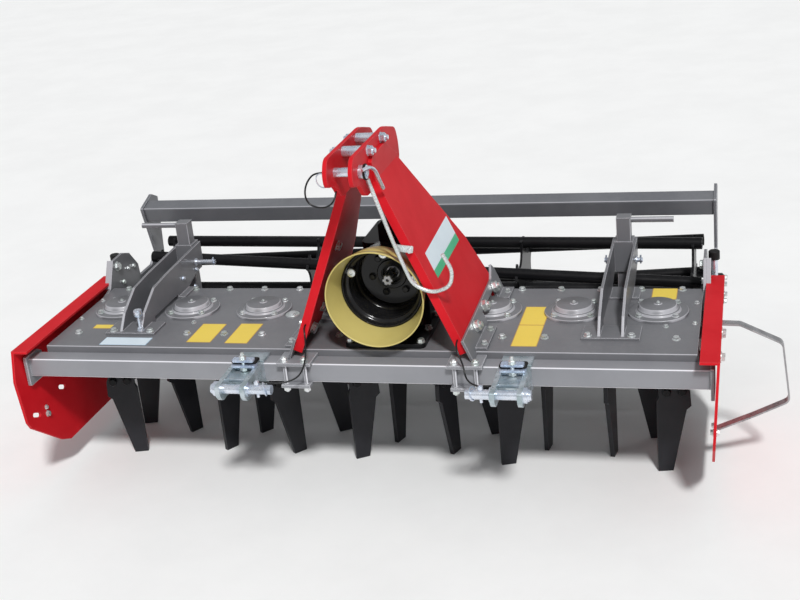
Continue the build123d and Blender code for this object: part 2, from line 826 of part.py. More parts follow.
# Hoop on the right side plate, bent from flat bar
hoop_points = (
    (side_plate_x - 5, 470),
    (side_plate_x + 57, 468),
    (side_plate_x + 176, 411),
    (side_plate_x + 197, 227),
    (side_plate_x + 95, 175),
    (side_plate_x - 15, 124),
)
hoop_path = Plane.XZ.offset(-hoop_y) * FilletPolyline(*hoop_points, radius=22)
hoop_start = Plane(origin=hoop_path @ 0, z_dir=hoop_path % 0, x_dir=(0, 1, 0))
hoop = sweep(hoop_start * Rectangle(hoop_width, hoop_thickness), path=hoop_path)
inner_side = block(side_plate_x - 300, side_plate_x + side_plate_thickness, -900, 900, -200, 900)
keep("side_hoop", hoop - inner_side.rotate(lean_axis, side_plate_lean))

# Hinge brackets of the roller frame on the ends of the trough, with the hinge pins
bracket_outline = (
    (60, 335),
    (250, 335),
    (345, 360),
    (398, 440),
    (392, 490),
    (340, 550),
    (290, 568),
    (215, 566),
    (165, 480),
    (60, 455),
)
hinge_bracket = plate_x(bracket_outline, trough_half_length, bracket_thickness)
hinge_bracket += rod_x(
    trough_half_length + bracket_thickness,
    frame_end_x + frame_end_thickness + 8,
    frame_hinge_y,
    frame_hinge_z,
    frame_hinge_radius,
)
keep("hinge_brackets", hinge_bracket, mirrored(hinge_bracket))

# Roller frame: end plates from the hinge to the cross tube and the roller bearings
end_outline = (
    (272, 372),
    (290, 428),
    (540, 430),
    (593, 462),
    (541, 647),
    (633, 676),
    (680, 653),
    (655, 400),
    (640, 290),
    (600, 262),
    (545, 262),
    (510, 300),
    (330, 362),
    (300, 362),
)
frame_end = plate_x(end_outline, frame_end_x, frame_end_thickness, 6)
for y, z, radius in (
    (frame_hinge_y, frame_hinge_z, frame_hinge_radius),
    (roller_y, roller_z, roller_shaft_radius),
):
    frame_end -= rod_x(frame_end_x - 5, frame_end_x + 20, y, z, radius + shaft_clearance)
keep("roller_frame_ends", frame_end, mirrored(frame_end))
tube_middle = Plane.YZ * Pos(cross_tube_y, cross_tube_z) * Rot(0, 0, cross_tube_tilt)
tube_section = tube_middle * RectangleRounded(cross_tube_size, cross_tube_size, cross_tube_wall)
tube_section -= tube_middle * Rectangle(cross_tube_size - 2 * cross_tube_wall, cross_tube_size - 2 * cross_tube_wall)
keep("cross_tube", extrude(tube_section, amount=frame_end_x, both=True))
bearing_x = frame_end_x + frame_end_thickness
bearing = rod_x(bearing_x, bearing_x + bearing_depth, roller_y, roller_z, bearing_radius)
bearing = chamfer(bearing.edges().group_by(Axis.X)[-1], 6)
shaft_end = bearing_x + bearing_depth - 6
bearing -= rod_x(bearing_x - 1, shaft_end + 1, roller_y, roller_z, roller_shaft_radius + shaft_clearance)
keep("roller_bearings", bearing, mirrored(bearing))


# Cage roller: tubes on a slight helix, star plates and a through shaft
def roller_line(k):
    start = math.radians(roller_first_angle + 360.0 / roller_tube_count * k)
    stop = start + math.radians(roller_twist)
    ends = []
    for x, angle in ((roller_half_length, start), (-roller_half_length, stop)):
        y = roller_y + roller_tube_circle * math.sin(angle)
        z = roller_z + roller_tube_circle * math.cos(angle)
        ends.append(Vector(x, y, z))
    return ends


def roller_bar(k, radius):
    first, last = roller_line(k)
    run = last - first
    return extrude(Plane(origin=first, z_dir=run) * Circle(radius), amount=run.length, dir=run.normalized())


def star(x):
    share = (roller_half_length - x) / (2 * roller_half_length)
    plate = rod_x(x - star_thickness / 2, x + star_thickness / 2, roller_y, roller_z, roller_tube_circle + star_rim)
    for k in range(roller_tube_count):
        first, last = roller_line(k)
        following = roller_line((k + 1) % roller_tube_count)
        here = first + (last - first) * share
        there = following[0] + (following[1] - following[0]) * share
        out = Vector(0, (here.Y + there.Y) / 2 - roller_y, (here.Z + there.Z) / 2 - roller_z).normalized()
        y = roller_y + out.Y * roller_tube_circle
        z = roller_z + out.Z * roller_tube_circle
        plate -= rod_x(x - star_thickness, x + star_thickness, y, z, star_scallop)
    for k in range(roller_tube_count):
        plate -= roller_bar(k, roller_tube_radius)
    return plate - rod_x(x - star_thickness, x + star_thickness, roller_y, roller_z, roller_shaft_radius)


def roller_tube(k):
    return roller_bar(k, roller_tube_radius) - roller_bar(k, roller_tube_radius - roller_tube_wall)


keep("roller_tubes", *[roller_tube(k) for k in range(roller_tube_count)])
keep("roller_stars", *[star(x) for x in star_stations])
roller_shaft = rod_x(-shaft_end, shaft_end, roller_y, roller_z, roller_shaft_radius)
roller_shaft -= rod_x(-shaft_end - 1, shaft_end + 1, roller_y, roller_z, roller_shaft_radius - roller_shaft_wall)
keep("roller_shaft", roller_shaft)


# Lanyards of the pins: thin sheathed wires, each a tube of short runs joined by arcs
def lanyard(name, points):
    runs = [Vector(*after) - Vector(*before) for before, after in zip(points, points[1:])]
    radii = []
    for before, after in zip(runs, runs[1:]):
        half_turn = math.radians(before.get_angle(after)) / 2
        radii.append(0.45 * min(before.length, after.length) / math.tan(half_turn))
    path = FilletPolyline(*points, radius=radii)
    keep(name, sweep(Plane(origin=path @ 0, z_dir=path % 0) * Circle(lanyard_radius), path=path))
    print(name, "length", round(path.length, 1), "radii", [round(radius, 1) for radius in radii])


# Each point is (x, y, z), from the pin or the arm to the place where the wire is held
pin_left_end = mirror_outer - 14
lanyard("top_lanyard", (
    (pin_left_end, top_link_y, top_link_z),
    (27, -470, 1068),
    (8, -473, 1061),
    (-9, -477, 1037),
    (-14, -480, 1009),
    (-6, -483, 988),
    (12, -485, 978),
    (36, -484, 974),
    (56, -478, 980),
    (67, -468, 997),
    (67, -455, 1010.4),
))
lanyard("left_lanyard", (
    (-112, arm_front(572) - 0.35, 572),
    (-112, -362, 572),
    (-105, -378, 552),
    (-103, -388, 522),
    (-106, -394, 492),
    (-113, -402, 462),
    (-126, -412, 440),
    (-147, -424, 430),
    (-172, -434, 427),
    (-200, -441, 429),
    (-228, -445, 434),
    (left_hitch_x + ear_spacing / 2 + ear_thickness / 2, -445, 434),
))
lanyard("right_lanyard", (
    (337, arm_front(528) - 0.35, 528),
    (337, -361, 528),
    (342, -379, 514),
    (353, -390, 492),
    (362, -398, 470),
    (367, -411, 451),
    (378, -426, 440),
    (396, -436, 434),
    (417, -442, 433),
    (437, -445, 437),
    (right_hitch_x - ear_spacing / 2 - ear_thickness / 2, -445, 437),
))

# The origin goes to the floor under the middle of the whole machine
whole = Compound(children=[Compound(shape.solids()) for shape in nodes.values()]).bounding_box()
origin_x = (whole.min.X + whole.max.X) / 2
origin_y = (whole.min.Y + whole.max.Y) / 2
shift = Location((-origin_x, -origin_y, 0))

os.makedirs("parts", exist_ok=True)
for name, shape in nodes.items():
    export_step(shape.moved(shift), f"parts/{name}.step")
print("origin", round(origin_x, 3), round(origin_y, 3), "nodes", len(nodes))
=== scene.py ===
import math

import bmesh
import bpy
from mathutils import Matrix, Vector


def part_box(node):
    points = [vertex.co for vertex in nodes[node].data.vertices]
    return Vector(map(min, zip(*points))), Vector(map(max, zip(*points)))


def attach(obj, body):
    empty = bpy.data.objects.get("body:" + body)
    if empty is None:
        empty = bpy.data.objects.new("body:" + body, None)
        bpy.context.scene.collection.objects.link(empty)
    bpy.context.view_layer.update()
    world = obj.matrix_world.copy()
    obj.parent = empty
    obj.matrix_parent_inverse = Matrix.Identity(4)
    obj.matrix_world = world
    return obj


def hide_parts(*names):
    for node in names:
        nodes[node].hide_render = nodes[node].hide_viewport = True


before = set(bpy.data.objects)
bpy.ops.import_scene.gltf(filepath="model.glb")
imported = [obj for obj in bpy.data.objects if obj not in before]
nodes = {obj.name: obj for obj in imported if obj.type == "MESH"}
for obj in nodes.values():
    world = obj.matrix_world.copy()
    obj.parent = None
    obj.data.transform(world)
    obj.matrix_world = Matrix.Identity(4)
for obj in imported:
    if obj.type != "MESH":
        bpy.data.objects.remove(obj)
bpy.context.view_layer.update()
print("stage: frame loaded")

# The machine is measured in millimetres from its rotor row: x to the right, y to the rear,
# z up from the tine tips
mm = 0.001


def middleOf(node):
    low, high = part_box(node)
    return (low + high) / 2


rowX = (middleOf("rotor_hub_1").x + middleOf("rotor_hub_8").x) / 2
rowY = middleOf("rotor_hub_1").y

machine = {
    "hitchX": 102, "driveZ": 648, "rotorPitch": 250, "rotorCount": 8, "drivenRotor": 4,
    "plateTop": 474, "padTop": 482, "supportX": 753, "cheekOut": 41, "lowerHitch": (-298, 502)}
rotorCount = machine["rotorCount"]
rotorXs = [(n - (rotorCount - 1) / 2) * machine["rotorPitch"] for n in range(rotorCount)]
driveAxis = (machine["hitchX"], machine["driveZ"])


# Places

def at(x, y, z):
    return Vector((rowX + x * mm, rowY + y * mm, z * mm))


def spot(x, y, z, aim=(0, 0, 1), turn=0.0):  # a place with its own upright axis, in millimetres
    swing = Vector(aim).to_track_quat("Z", "Y").to_matrix().to_4x4()
    return Matrix.Translation(at(x, y, z)) @ swing @ Matrix.Rotation(turn, 4, "Z") @ Matrix.Scale(mm, 4)


def acrossX(x):  # a place for a plate outlined by (y, z), with its thickness to the right
    turn = Matrix(((0, 0, 1), (1, 0, 0), (0, 1, 0))).to_4x4()
    return Matrix.Translation(at(x, 0, 0)) @ turn @ Matrix.Scale(mm, 4)


def around(centre, radius, angle):  # a point on a circle, the angle in radians
    return centre[0] + radius * math.cos(angle), centre[1] + radius * math.sin(angle)


def mirrorX(x):  # across the headstock's middle
    return 2 * machine["hitchX"] - x


# Shapes

def addWalls(bm, rings, mark=0):  # faces between rings of the same number of points
    for low, high in zip(rings, rings[1:]):
        for n in range(len(low)):
            after = (n + 1) % len(low)
            bm.faces.new([low[n], low[after], high[after], high[n]]).material_index = mark


def addSolid(bm, rings, mark=0):
    bm.faces.new(list(reversed(rings[0]))).material_index = mark
    bm.faces.new(rings[-1]).material_index = mark
    addWalls(bm, rings, mark)


def lathe(bm, profile, count, place, mark=0, closed=False):  # turned shape from (radius, height) points
    rings = []
    for radius, height in profile:
        angles = [2 * math.pi * step / count for step in range(count)] if radius > 0.01 else [0.0]
        points = [Vector((*around((0, 0), radius, angle), height)) for angle in angles]
        rings.append([bm.verts.new(place @ point) for point in points])
    pairs = list(zip(rings, rings[1:]))
    if closed:
        pairs.append((rings[-1], rings[0]))
    for low, high in pairs:
        for step in range(count):
            after = (step + 1) % count
            ends = ((low, step), (low, after), (high, after), (high, step))
            corners = list(dict.fromkeys(ring[n % len(ring)] for ring, n in ends))
            if len(corners) > 2:
                bm.faces.new(corners).material_index = mark


def prism(bm, outline, depth, place, mark=0):  # flat plate: (u, v) outline, 0 to depth along the axis
    addSolid(bm, [[bm.verts.new(place @ Vector((u, v, w))) for u, v in outline] for w in (0, depth)], mark)


def bend(before, here, after, radius, steps):  # the corner at here, taken as a curve
    cut = min(radius, 0.45 * (before - here).length, 0.45 * (after - here).length)
    first, last = here + (before - here).normalized() * cut, here + (after - here).normalized() * cut
    shares = [step / steps for step in range(steps + 1)]
    return [(1 - t) ** 2 * first + 2 * t * (1 - t) * here + t * t * last for t in shares]


def rounded(outline, radius, steps=4):  # outline with its corners rounded
    corners = [Vector(point) for point in outline]
    points = []
    for n, here in enumerate(corners):
        points += bend(corners[n - 1], here, corners[(n + 1) % len(corners)], radius, steps)
    return [tuple(point) for point in points]


def softBlock(bm, place, width, depth, height, radius, lip, mark=0):  # corners and edges rounded
    rings = []
    for shrink, level in ((lip, 0.0), (0.0, lip), (0.0, height - lip), (lip, height)):
        u, v = (width - 2 * shrink) / 2, (depth - 2 * shrink) / 2
        ring = rounded(((-u, -v), (u, -v), (u, v), (-u, v)), max(radius - shrink, 0.3))
        rings.append([bm.verts.new(place @ Vector((*point, level))) for point in ring])
    addSolid(bm, rings, mark)


def bentRod(bm, points, radius, curve=15, sides=12, mark=0):  # round bar, curved at its corners
    corners = [Vector(point) for point in points]
    line = [corners[0]]
    for before, here, after in zip(corners, corners[1:], corners[2:]):
        line += bend(before, here, after, curve, 6)
    line.append(corners[-1])
    normal = None
    rings = []
    for n, here in enumerate(line):
        ahead = (line[min(n + 1, len(line) - 1)] - line[max(n - 1, 0)]).normalized()
        if normal is None:
            normal = ahead.orthogonal().normalized()
        normal = (normal - ahead * normal.dot(ahead)).normalized()
        side = ahead.cross(normal)
        ring = []
        for step in range(sides):
            angle = 2 * math.pi * step / sides
            offset = normal * radius * math.cos(angle) + side * radius * math.sin(angle)
            ring.append(bm.verts.new(at(*(here + offset))))
        rings.append(ring)
    addSolid(bm, rings, mark)


def wireRing(bm, place, radius, wire, count=28, sides=8):  # closed ring of round wire
    profile = [around((radius, 0), wire, 2 * math.pi * step / sides) for step in range(sides)]
    lathe(bm, profile, count, place, closed=True)


def hexBolt(bm, place, across, head, washer, stud=0.0, mark=0):
    # washer, chamfered six-sided head or nut, and the end of the screw where stud is given
    lift = 2.4 if washer else 0.0
    if washer:
        rim = ((0, -0.5), (washer, -0.5), (washer, lift - 0.5), (washer - 0.6, lift), (0, lift))
        lathe(bm, rim, 24, place, mark)
    corner = across / math.sqrt(3)
    rise = lift + head
    hexagon = ((0, lift), (corner, lift), (corner, rise - 0.16 * head), (0.84 * corner, rise), (0, rise))
    lathe(bm, hexagon, 6, place, mark)
    if stud:
        thread = across * 0.31
        end = rise + stud
        screw = ((0, rise), (thread, rise), (thread, end - 1.2), (thread - 1.2, end), (0, end))
        lathe(bm, screw, 14, place, mark)


def softEdges(bm, width):
    edges = [edge for edge in bm.edges if edge.calc_face_angle(0.0) > math.radians(50)]
    bmesh.ops.bevel(bm, geom=edges, offset=width * mm, segments=2, affect="EDGES", clamp_overlap=True)


def newObject(name, data):
    made = bpy.data.objects.new(name, data)
    bpy.context.scene.collection.objects.link(made)
    return made


def newPiece(name, bm, finishes=("zincBolt",), body="machine", sharp=34):
    bmesh.ops.recalc_face_normals(bm, faces=bm.faces)
    mesh = bpy.data.meshes.new(name)
    bm.to_mesh(mesh)
    bm.free()
    mesh.shade_smooth()
    mesh.set_sharp_from_angle(angle=math.radians(sharp))
    for finishName in finishes:
        mesh.materials.append(finish[finishName])
    piece = newObject(name, mesh)
    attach(piece, body)
    return piece


# Shader node groups

def newGroup(name, inputs, outputs):
    group = bpy.data.node_groups.new(name, "ShaderNodeTree")
    for label, kind, value in inputs:
        socket = group.interface.new_socket(name=label, in_out="INPUT", socket_type=f"NodeSocket{kind}")
        socket.default_value = value
    for label, kind in outputs:
        group.interface.new_socket(name=label, in_out="OUTPUT", socket_type=f"NodeSocket{kind}")
    return group, group.nodes.new("NodeGroupInput").outputs, group.nodes.new("NodeGroupOutput")


def fill(tree, node, values):  # each input takes a value, or a link from an output
    for key, value in values.items():
        if isinstance(value, (int, float, tuple)):
            node.inputs[key].default_value = value
        else:
            tree.links.new(value, node.inputs[key])


def addNode(tree, kind, settings=None, values=None):
    node = tree.nodes.new(kind)
    for key, value in (settings or {}).items():
        setattr(node, key, value)
    fill(tree, node, values or {})
    return node


def mathNode(tree, operation, first, second, clamp=False):
    settings = {"operation": operation, "use_clamp": clamp}
    return addNode(tree, "ShaderNodeMath", settings, {0: first, 1: second}).outputs[0]


def mixColor(tree, factor, first, second):
    return addNode(tree, "ShaderNodeMix", {"data_type": "RGBA"}, {0: factor, 6: first, 7: second}).outputs[2]


def spread(tree, value, low, high):  # 0 at low to 1 at high, eased at both ends
    values = {"Value": value, "From Min": low, "From Max": high, "To Min": 0.0, "To Max": 1}
    return addNode(tree, "ShaderNodeMapRange", {"interpolation_type": "SMOOTHSTEP"}, values).outputs["Result"]


def coordinate(tree, name):
    return addNode(tree, "ShaderNodeTexCoord").outputs[name]


def splitAxes(tree, vector):
    return addNode(tree, "ShaderNodeSeparateXYZ", values={0: vector}).outputs


def noise(tree, scale, detail, roughness=0.5):  # in the object's own space
    values = {"Vector": coordinate(tree, "Object"), "Scale": scale, "Detail": detail, "Roughness": roughness}
    return addNode(tree, "ShaderNodeTexNoise", values=values).outputs["Fac"]


# The Wear mask lightens the paint along edges, partly as edge wear and partly as a painted highlight. The
# Fold part is a painted highlight along folds and rounded corners.
def makeEdgeGroup():  # edges rounded in shading, with a mask along them and along folds and rounded corners
    group, given, result = newGroup("edgeSoftness", [("Radius", "Float", 0.002), ("FoldHighlight", "Float", 0.0)],
                                    [("Normal", "Vector"), ("WearAndHighlight", "Float")])
    bevel = addNode(group, "ShaderNodeBevel", {"samples": 4}, {"Radius": given["Radius"]})
    soft, hard = bevel.outputs["Normal"], addNode(group, "ShaderNodeNewGeometry").outputs["Normal"]
    dot = addNode(group, "ShaderNodeVectorMath", {"operation": "DOT_PRODUCT"}, {0: soft, 1: hard})
    # mask along sharp edges: edge wear and a painted highlight
    edges = spread(group, dot.outputs["Value"], 0.98, 0.80)
    parts = splitAxes(group, coordinate(group, "Normal"))
    sizes = [mathNode(group, "ABSOLUTE", parts[n], 0.0) for n in range(3)]
    flat = mathNode(group, "MAXIMUM", mathNode(group, "MAXIMUM", sizes[0], sizes[1]), sizes[2])
    # painted highlight on folds and rounded corners, where the normal leans away from every axis
    foldHighlights = mathNode(group, "MULTIPLY", spread(group, flat, 0.94, 0.84), given["FoldHighlight"])
    fill(group, result, {"Normal": soft, "WearAndHighlight": mathNode(group, "MAXIMUM", edges, foldHighlights)})
    return group


skinOutputs = [("Color", "Color"), ("Roughness", "Float"), ("Height", "Float")]


def makePaintGroup():  # sprayed paint: slow shade changes, dust on what faces up, fine orange peel
    group, given, result = newGroup(
        "sprayedPaint", [("Paint", "Color", (0.5, 0.5, 0.5, 1)), ("Shade", "Color", (0.4, 0.4, 0.4, 1)),
                         ("Dust", "Float", 0.15), ("Gloss", "Float", 0.3)], skinOutputs)
    slow, fine, speck = noise(group, 5, 4, 0.6), noise(group, 420, 2), noise(group, 90, 5, 0.7)
    shade = mixColor(group, spread(group, slow, 0.35, 0.68), given["Paint"], given["Shade"])
    parts = splitAxes(group, addNode(group, "ShaderNodeNewGeometry").outputs["Normal"])
    facing = spread(group, parts["Z"], 0.2, 1)
    grime = mathNode(group, "MULTIPLY", spread(group, speck, 0.38, 0.72), facing)
    dusty = mathNode(group, "MULTIPLY", grime, given["Dust"], clamp=True)
    rough = mathNode(group, "ADD", given["Gloss"], mathNode(group, "MULTIPLY", slow, 0.12))
    rough = mathNode(group, "ADD", rough, mathNode(group, "MULTIPLY", dusty, 0.8), clamp=True)
    color = mixColor(group, dusty, shade, (0.42, 0.40, 0.37, 1))
    fill(group, result, {"Color": color, "Roughness": rough, "Height": fine})
    return group


def makeZincGroup():  # zinc skin: pale crystals with a slow green or blue tint
    group, given, result = newGroup(
        "zincSkin", [("Light", "Color", (0.7, 0.73, 0.75, 1)), ("Tint", "Color", (0.5, 0.56, 0.54, 1)),
                     ("Crystal", "Float", 160), ("Mottle", "Float", 0.2)], skinOutputs)
    values = {"Vector": coordinate(group, "Object"), "Scale": given["Crystal"]}
    cells = addNode(group, "ShaderNodeTexVoronoi", values=values)
    slow, fine = noise(group, 28, 3), noise(group, 700, 2)
    tone = addNode(group, "ShaderNodeSeparateColor", values={0: cells.outputs["Color"]}).outputs
    tinted = mixColor(group, spread(group, slow, 0.36, 0.66), given["Light"], given["Tint"])
    dark = mathNode(group, "MULTIPLY", tone[0], given["Mottle"])
    color = mixColor(group, dark, tinted, (0.33, 0.35, 0.36, 1))
    rough = mathNode(group, "ADD", 0.26, mathNode(group, "MULTIPLY", tone[1], given["Mottle"]))
    fill(group, result, {"Color": color, "Roughness": rough, "Height": fine})
    return group


edgeGroup = makeEdgeGroup()
paintGroup = makePaintGroup()
zincGroup = makeZincGroup()


def startMaterial(name):
    material = bpy.data.materials.new(name)
    material.use_nodes = True
    tree = material.node_tree
    return material, tree, tree.nodes["Principled BSDF"]


def opaque(color):
    return (*color, 1)


def groupNode(tree, group, values):
    return addNode(tree, "ShaderNodeGroup", {"node_tree": group}, values).outputs


def linkRelief(tree, shader, skin, edge, height):
    values = {"Strength": 0.25, "Distance": height, "Height": skin["Height"], "Normal": edge["Normal"]}
    fill(tree, shader, {"Normal": addNode(tree, "ShaderNodeBump", values=values).outputs["Normal"]})


def makePaint(name, look):
    material, tree, shader = startMaterial(name)
    skin = groupNode(tree, paintGroup, {"Paint": opaque(look["paint"]), "Shade": opaque(look["shade"]),
                                        "Dust": look["dust"], "Gloss": look["gloss"]})
    edge = groupNode(tree, edgeGroup, {"Radius": look["edge"], "FoldHighlight": look["foldHighlight"]})
    # paint lightened along edges and folds: edge wear and painted highlight
    wornAndHighlit = mathNode(tree, "MULTIPLY", edge["WearAndHighlight"], look["edgeWearAndHighlightAmount"])
    color = mixColor(tree, wornAndHighlit, skin["Color"], opaque(look["edgeWearAndHighlight"]))
    fill(tree, shader, {"Base Color": color, "Roughness": skin["Roughness"], "Coat Weight": look["coat"],
                        "Coat Roughness": 0.08, "Specular IOR Level": look["shine"]})
    linkRelief(tree, shader, skin, edge, look["peel"])
    return material


def makeZinc(name, look):
    material, tree, shader = startMaterial(name)
    skin = groupNode(tree, zincGroup, {"Light": opaque(look["light"]), "Tint": opaque(look["tint"]),
                                       "Crystal": look["crystal"], "Mottle": look["mottle"]})
    fill(tree, shader, {"Base Color": skin["Color"], "Roughness": skin["Roughness"],
                        "Metallic": look["metal"]})
    if look["grain"]:
        linkRelief(tree, shader, skin, groupNode(tree, edgeGroup, {"Radius": 0.0003}), look["grain"])
    return material


# the wear colour along edges is edge wear and painted highlight in one; fold sets the painted highlight along
# folds and rounded corners
paintColumns = ("paint", "shade", "edgeWearAndHighlight", "edgeWearAndHighlightAmount",
                "dust", "gloss", "edge", "peel", "coat", "shine", "foldHighlight")
paints = {
    "redPaint": ((0.620, 0.010, 0.018), (0.560, 0.006, 0.013), (0.78, 0.16, 0.17), 0.6,
                 0.01, 0.44, 0.0026, 0.0003, 0.0, 0.14, 0.0),
    "troughGrey": ((0.166, 0.168, 0.180), (0.145, 0.147, 0.159), (0.62, 0.62, 0.66), 0.85,
                   0.08, 0.28, 0.0040, 0.0003, 0.1, 0.45, 0.7),
    # the beam's grey is the trough's paint made lighter: painted light for the front light falling on the
    # beam
    "beamGreyLit": ((0.262, 0.266, 0.286), (0.235, 0.239, 0.258), (0.78, 0.78, 0.82), 0.95,
                 0.05, 0.28, 0.0050, 0.0003, 0.1, 0.45, 0.95),
    "rollerFrameGrey": ((0.150, 0.155, 0.168), (0.122, 0.127, 0.140), (0.46, 0.46, 0.49), 0.85,
                        0.06, 0.28, 0.0050, 0.0003, 0.1, 0.4, 0.8),
    "blackPaint": ((0.006, 0.006, 0.007), (0.010, 0.010, 0.011), (0.10, 0.10, 0.11), 0.6,
                   0.02, 0.26, 0.0026, 0.0004, 0.0, 0.16, 0.0),
    "bladeBlack": ((0.014, 0.014, 0.017), (0.021, 0.021, 0.025), (0.12, 0.12, 0.13), 0.7,
                   0.03, 0.32, 0.0022, 0.0006, 0.0, 0.22, 0.0),
    "guardYellow": ((0.570, 0.480, 0.165), (0.520, 0.430, 0.140), (0.80, 0.76, 0.42), 0.5,
                    0.02, 0.34, 0.0016, 0.0002, 0.0, 0.40, 0.0),
    "blackPlastic": ((0.009, 0.009, 0.010), (0.013, 0.013, 0.015), (0.06, 0.06, 0.065), 0.5,
                     0.02, 0.12, 0.0020, 0.0002, 0.05, 0.28, 0.0),
    "labelYellow": ((0.850, 0.640, 0.085), (0.800, 0.600, 0.075), (0.9, 0.8, 0.4), 0.2,
                    0.03, 0.30, 0.0006, 0.0001, 0.1, 0.40, 0.0),
    "labelRim": ((0.620, 0.360, 0.060), (0.560, 0.320, 0.050), (0.8, 0.6, 0.3), 0.2,
                 0.03, 0.30, 0.0006, 0.0001, 0.1, 0.40, 0.0),
    "labelWhite": ((0.700, 0.800, 0.860), (0.660, 0.760, 0.830), (0.9, 0.9, 0.9), 0.2,
                   0.03, 0.28, 0.0006, 0.0001, 0.1, 0.40, 0.0),
    "labelGreen": ((0.030, 0.420, 0.190), (0.060, 0.480, 0.250), (0.2, 0.6, 0.4), 0.2,
                   0.02, 0.28, 0.0006, 0.0001, 0.1, 0.40, 0.0),
    "labelBlue": ((0.380, 0.560, 0.720), (0.480, 0.640, 0.780), (0.7, 0.8, 0.9), 0.2,
                  0.02, 0.28, 0.0006, 0.0001, 0.1, 0.40, 0.0),
    "rubber": ((0.006, 0.006, 0.006), (0.010, 0.010, 0.010), (0.03, 0.03, 0.03), 0.3,
               0.02, 0.50, 0.0012, 0.0003, 0.0, 0.25, 0.0),
    "wireSheath": ((0.006, 0.006, 0.007), (0.010, 0.010, 0.011), (0.04, 0.04, 0.04), 0.2,
                   0.01, 0.24, 0.0004, 0.0001, 0.0, 0.35, 0.0),
}
zincColumns = ("light", "tint", "crystal", "metal", "mottle", "grain")
zincs = {
    "zincBolt": ((0.84, 0.86, 0.87), (0.66, 0.72, 0.69), 320, 0.80, 0.12, 0.0),
    "zincPlate": ((0.62, 0.69, 0.74), (0.40, 0.49, 0.52), 150, 0.70, 0.25, 0.00002),
    "zincPin": ((0.80, 0.84, 0.92), (0.60, 0.68, 0.80), 240, 0.80, 0.06, 0.0),
    "zincBlue": ((0.66, 0.74, 0.88), (0.48, 0.58, 0.76), 160, 0.60, 0.10, 0.0),
    "zincRod": ((0.66, 0.69, 0.69), (0.55, 0.60, 0.59), 200, 0.45, 0.03, 0.0),
    "hoopSteel": ((0.40, 0.40, 0.41), (0.28, 0.28, 0.29), 120, 0.60, 0.15, 0.00002),
    "groundSteel": ((0.50, 0.50, 0.52), (0.36, 0.36, 0.38), 60, 0.9, 0.2, 0.0),
}
finish = {name: makePaint(name, dict(zip(paintColumns, row))) for name, row in paints.items()}
finish.update({name: makeZinc(name, dict(zip(zincColumns, row))) for name, row in zincs.items()})
print("stage: materials made")

# Finishes of the CAD's own pieces
nodeFinish = {
    "redPaint": ["headstock_arms", "headstock_cheeks", "side_plates"],
    "troughGrey": ["gear_trough", "top_plate", "bearing_housings", "bar_supports", "beam_gussets", "arm_feet",
                   "hinge_brackets", "post_sleeves", "levelling_posts", "side_bushes", "gear_train",
                   "bearing_covers"],
    # the beam pieces take the lighter copy of the trough's grey, painted light for the light from the front
    "beamGreyLit": ["front_beam", "beam_end_plates", "beam_clamps"],
    "rollerFrameGrey": ["cross_tube", "roller_frame_ends"],
    "blackPaint": ["gearbox", "gearbox_base", "levelling_bar", "roller_tubes", "roller_stars", "roller_shaft",
                   "roller_bearings"] + [f"rotor_hub_{n + 1}" for n in range(rotorCount)],
    "bladeBlack": [f"tines_{n + 1}" for n in range(rotorCount)],
    "zincPlate": ["lower_hitch_brackets", "hitch_stacks"],
    "zincPin": ["lower_hitch_pins", "top_link_pin", "cheek_spacers"],
    "zincRod": ["shaft_hook"],
    "hoopSteel": ["side_hoop"],
    "blackPlastic": ["guard_cup", "cup_collar", "cup_base", "top_lanyard", "left_lanyard", "right_lanyard"],
    "guardYellow": ["input_guard"],
    "groundSteel": ["input_shaft"],
}
for finishName, names in nodeFinish.items():
    for name in names:
        for slot in nodes[name].material_slots:
            slot.material = finish[finishName]
print("stage: CAD pieces finished")

# In the pieces below, a bolt is (width across flats, head height, washer radius), each turned its own way

# Bolts of the top plate: two rows, some smaller ones and the oil plug
plateBolts = {
    "pitch": 125, "reach": 937.5, "bolt": (17, 8, 12.5),
    "rows": (("front", -198, 76), ("rear", 178, 52)), "smallBolt": (11, 5.5, 8.5),
    "hidden": ((62.5, "front"), (187.5, "front"), (-187.5, "front"), (-187.5, "rear")),
    "small": ((-576, -110), (904, -110), (-985, 71), (-985, -86), (985, 71), (985, -86)),
    "plug": (-265, -40), "plugBolt": (22, 8, 0.0), "plugLift": 3.8,
    "plugRing": ((0, -0.5), (23, -0.5), (23, 4), (21.5, 5.5), (17, 5.5), (16, 4.2), (0, 4.2))}


def makePlateBolts(look):
    bm = bmesh.new()
    top = machine["plateTop"]
    for row, y, pad in look["rows"]:
        for n in range(int(2 * look["reach"] / look["pitch"]) + 1):
            x = -look["reach"] + n * look["pitch"]
            if (x, row) in look["hidden"]:
                continue
            z = machine["padTop"] if abs(abs(x) - machine["supportX"]) < pad else top
            hexBolt(bm, spot(x, y, z, turn=0.3 + 1.7 * n), *look["bolt"])
    for n, (x, y) in enumerate(look["small"]):
        hexBolt(bm, spot(x, y, top, turn=0.9 * n), *look["smallBolt"])
    x, y = look["plug"]
    lathe(bm, look["plugRing"], 36, spot(x, y, top))
    hexBolt(bm, spot(x, y, top + look["plugLift"]), *look["plugBolt"])
    newPiece("plateBolts", bm)


makePlateBolts(plateBolts)

# Bearing covers: turned castings with a stepped cap, four bolts and a grease nipple each
cover = {
    "flange": 90, "cap": 57, "top": 9, "boltCircle": 76, "bolt": (15, 7.5, 10.5),
    "nipple": ((0, 31), (6, 31), (6, 33.5), (4.4, 34.2), (4.4, 36.2), (3, 37.4), (0, 38))}


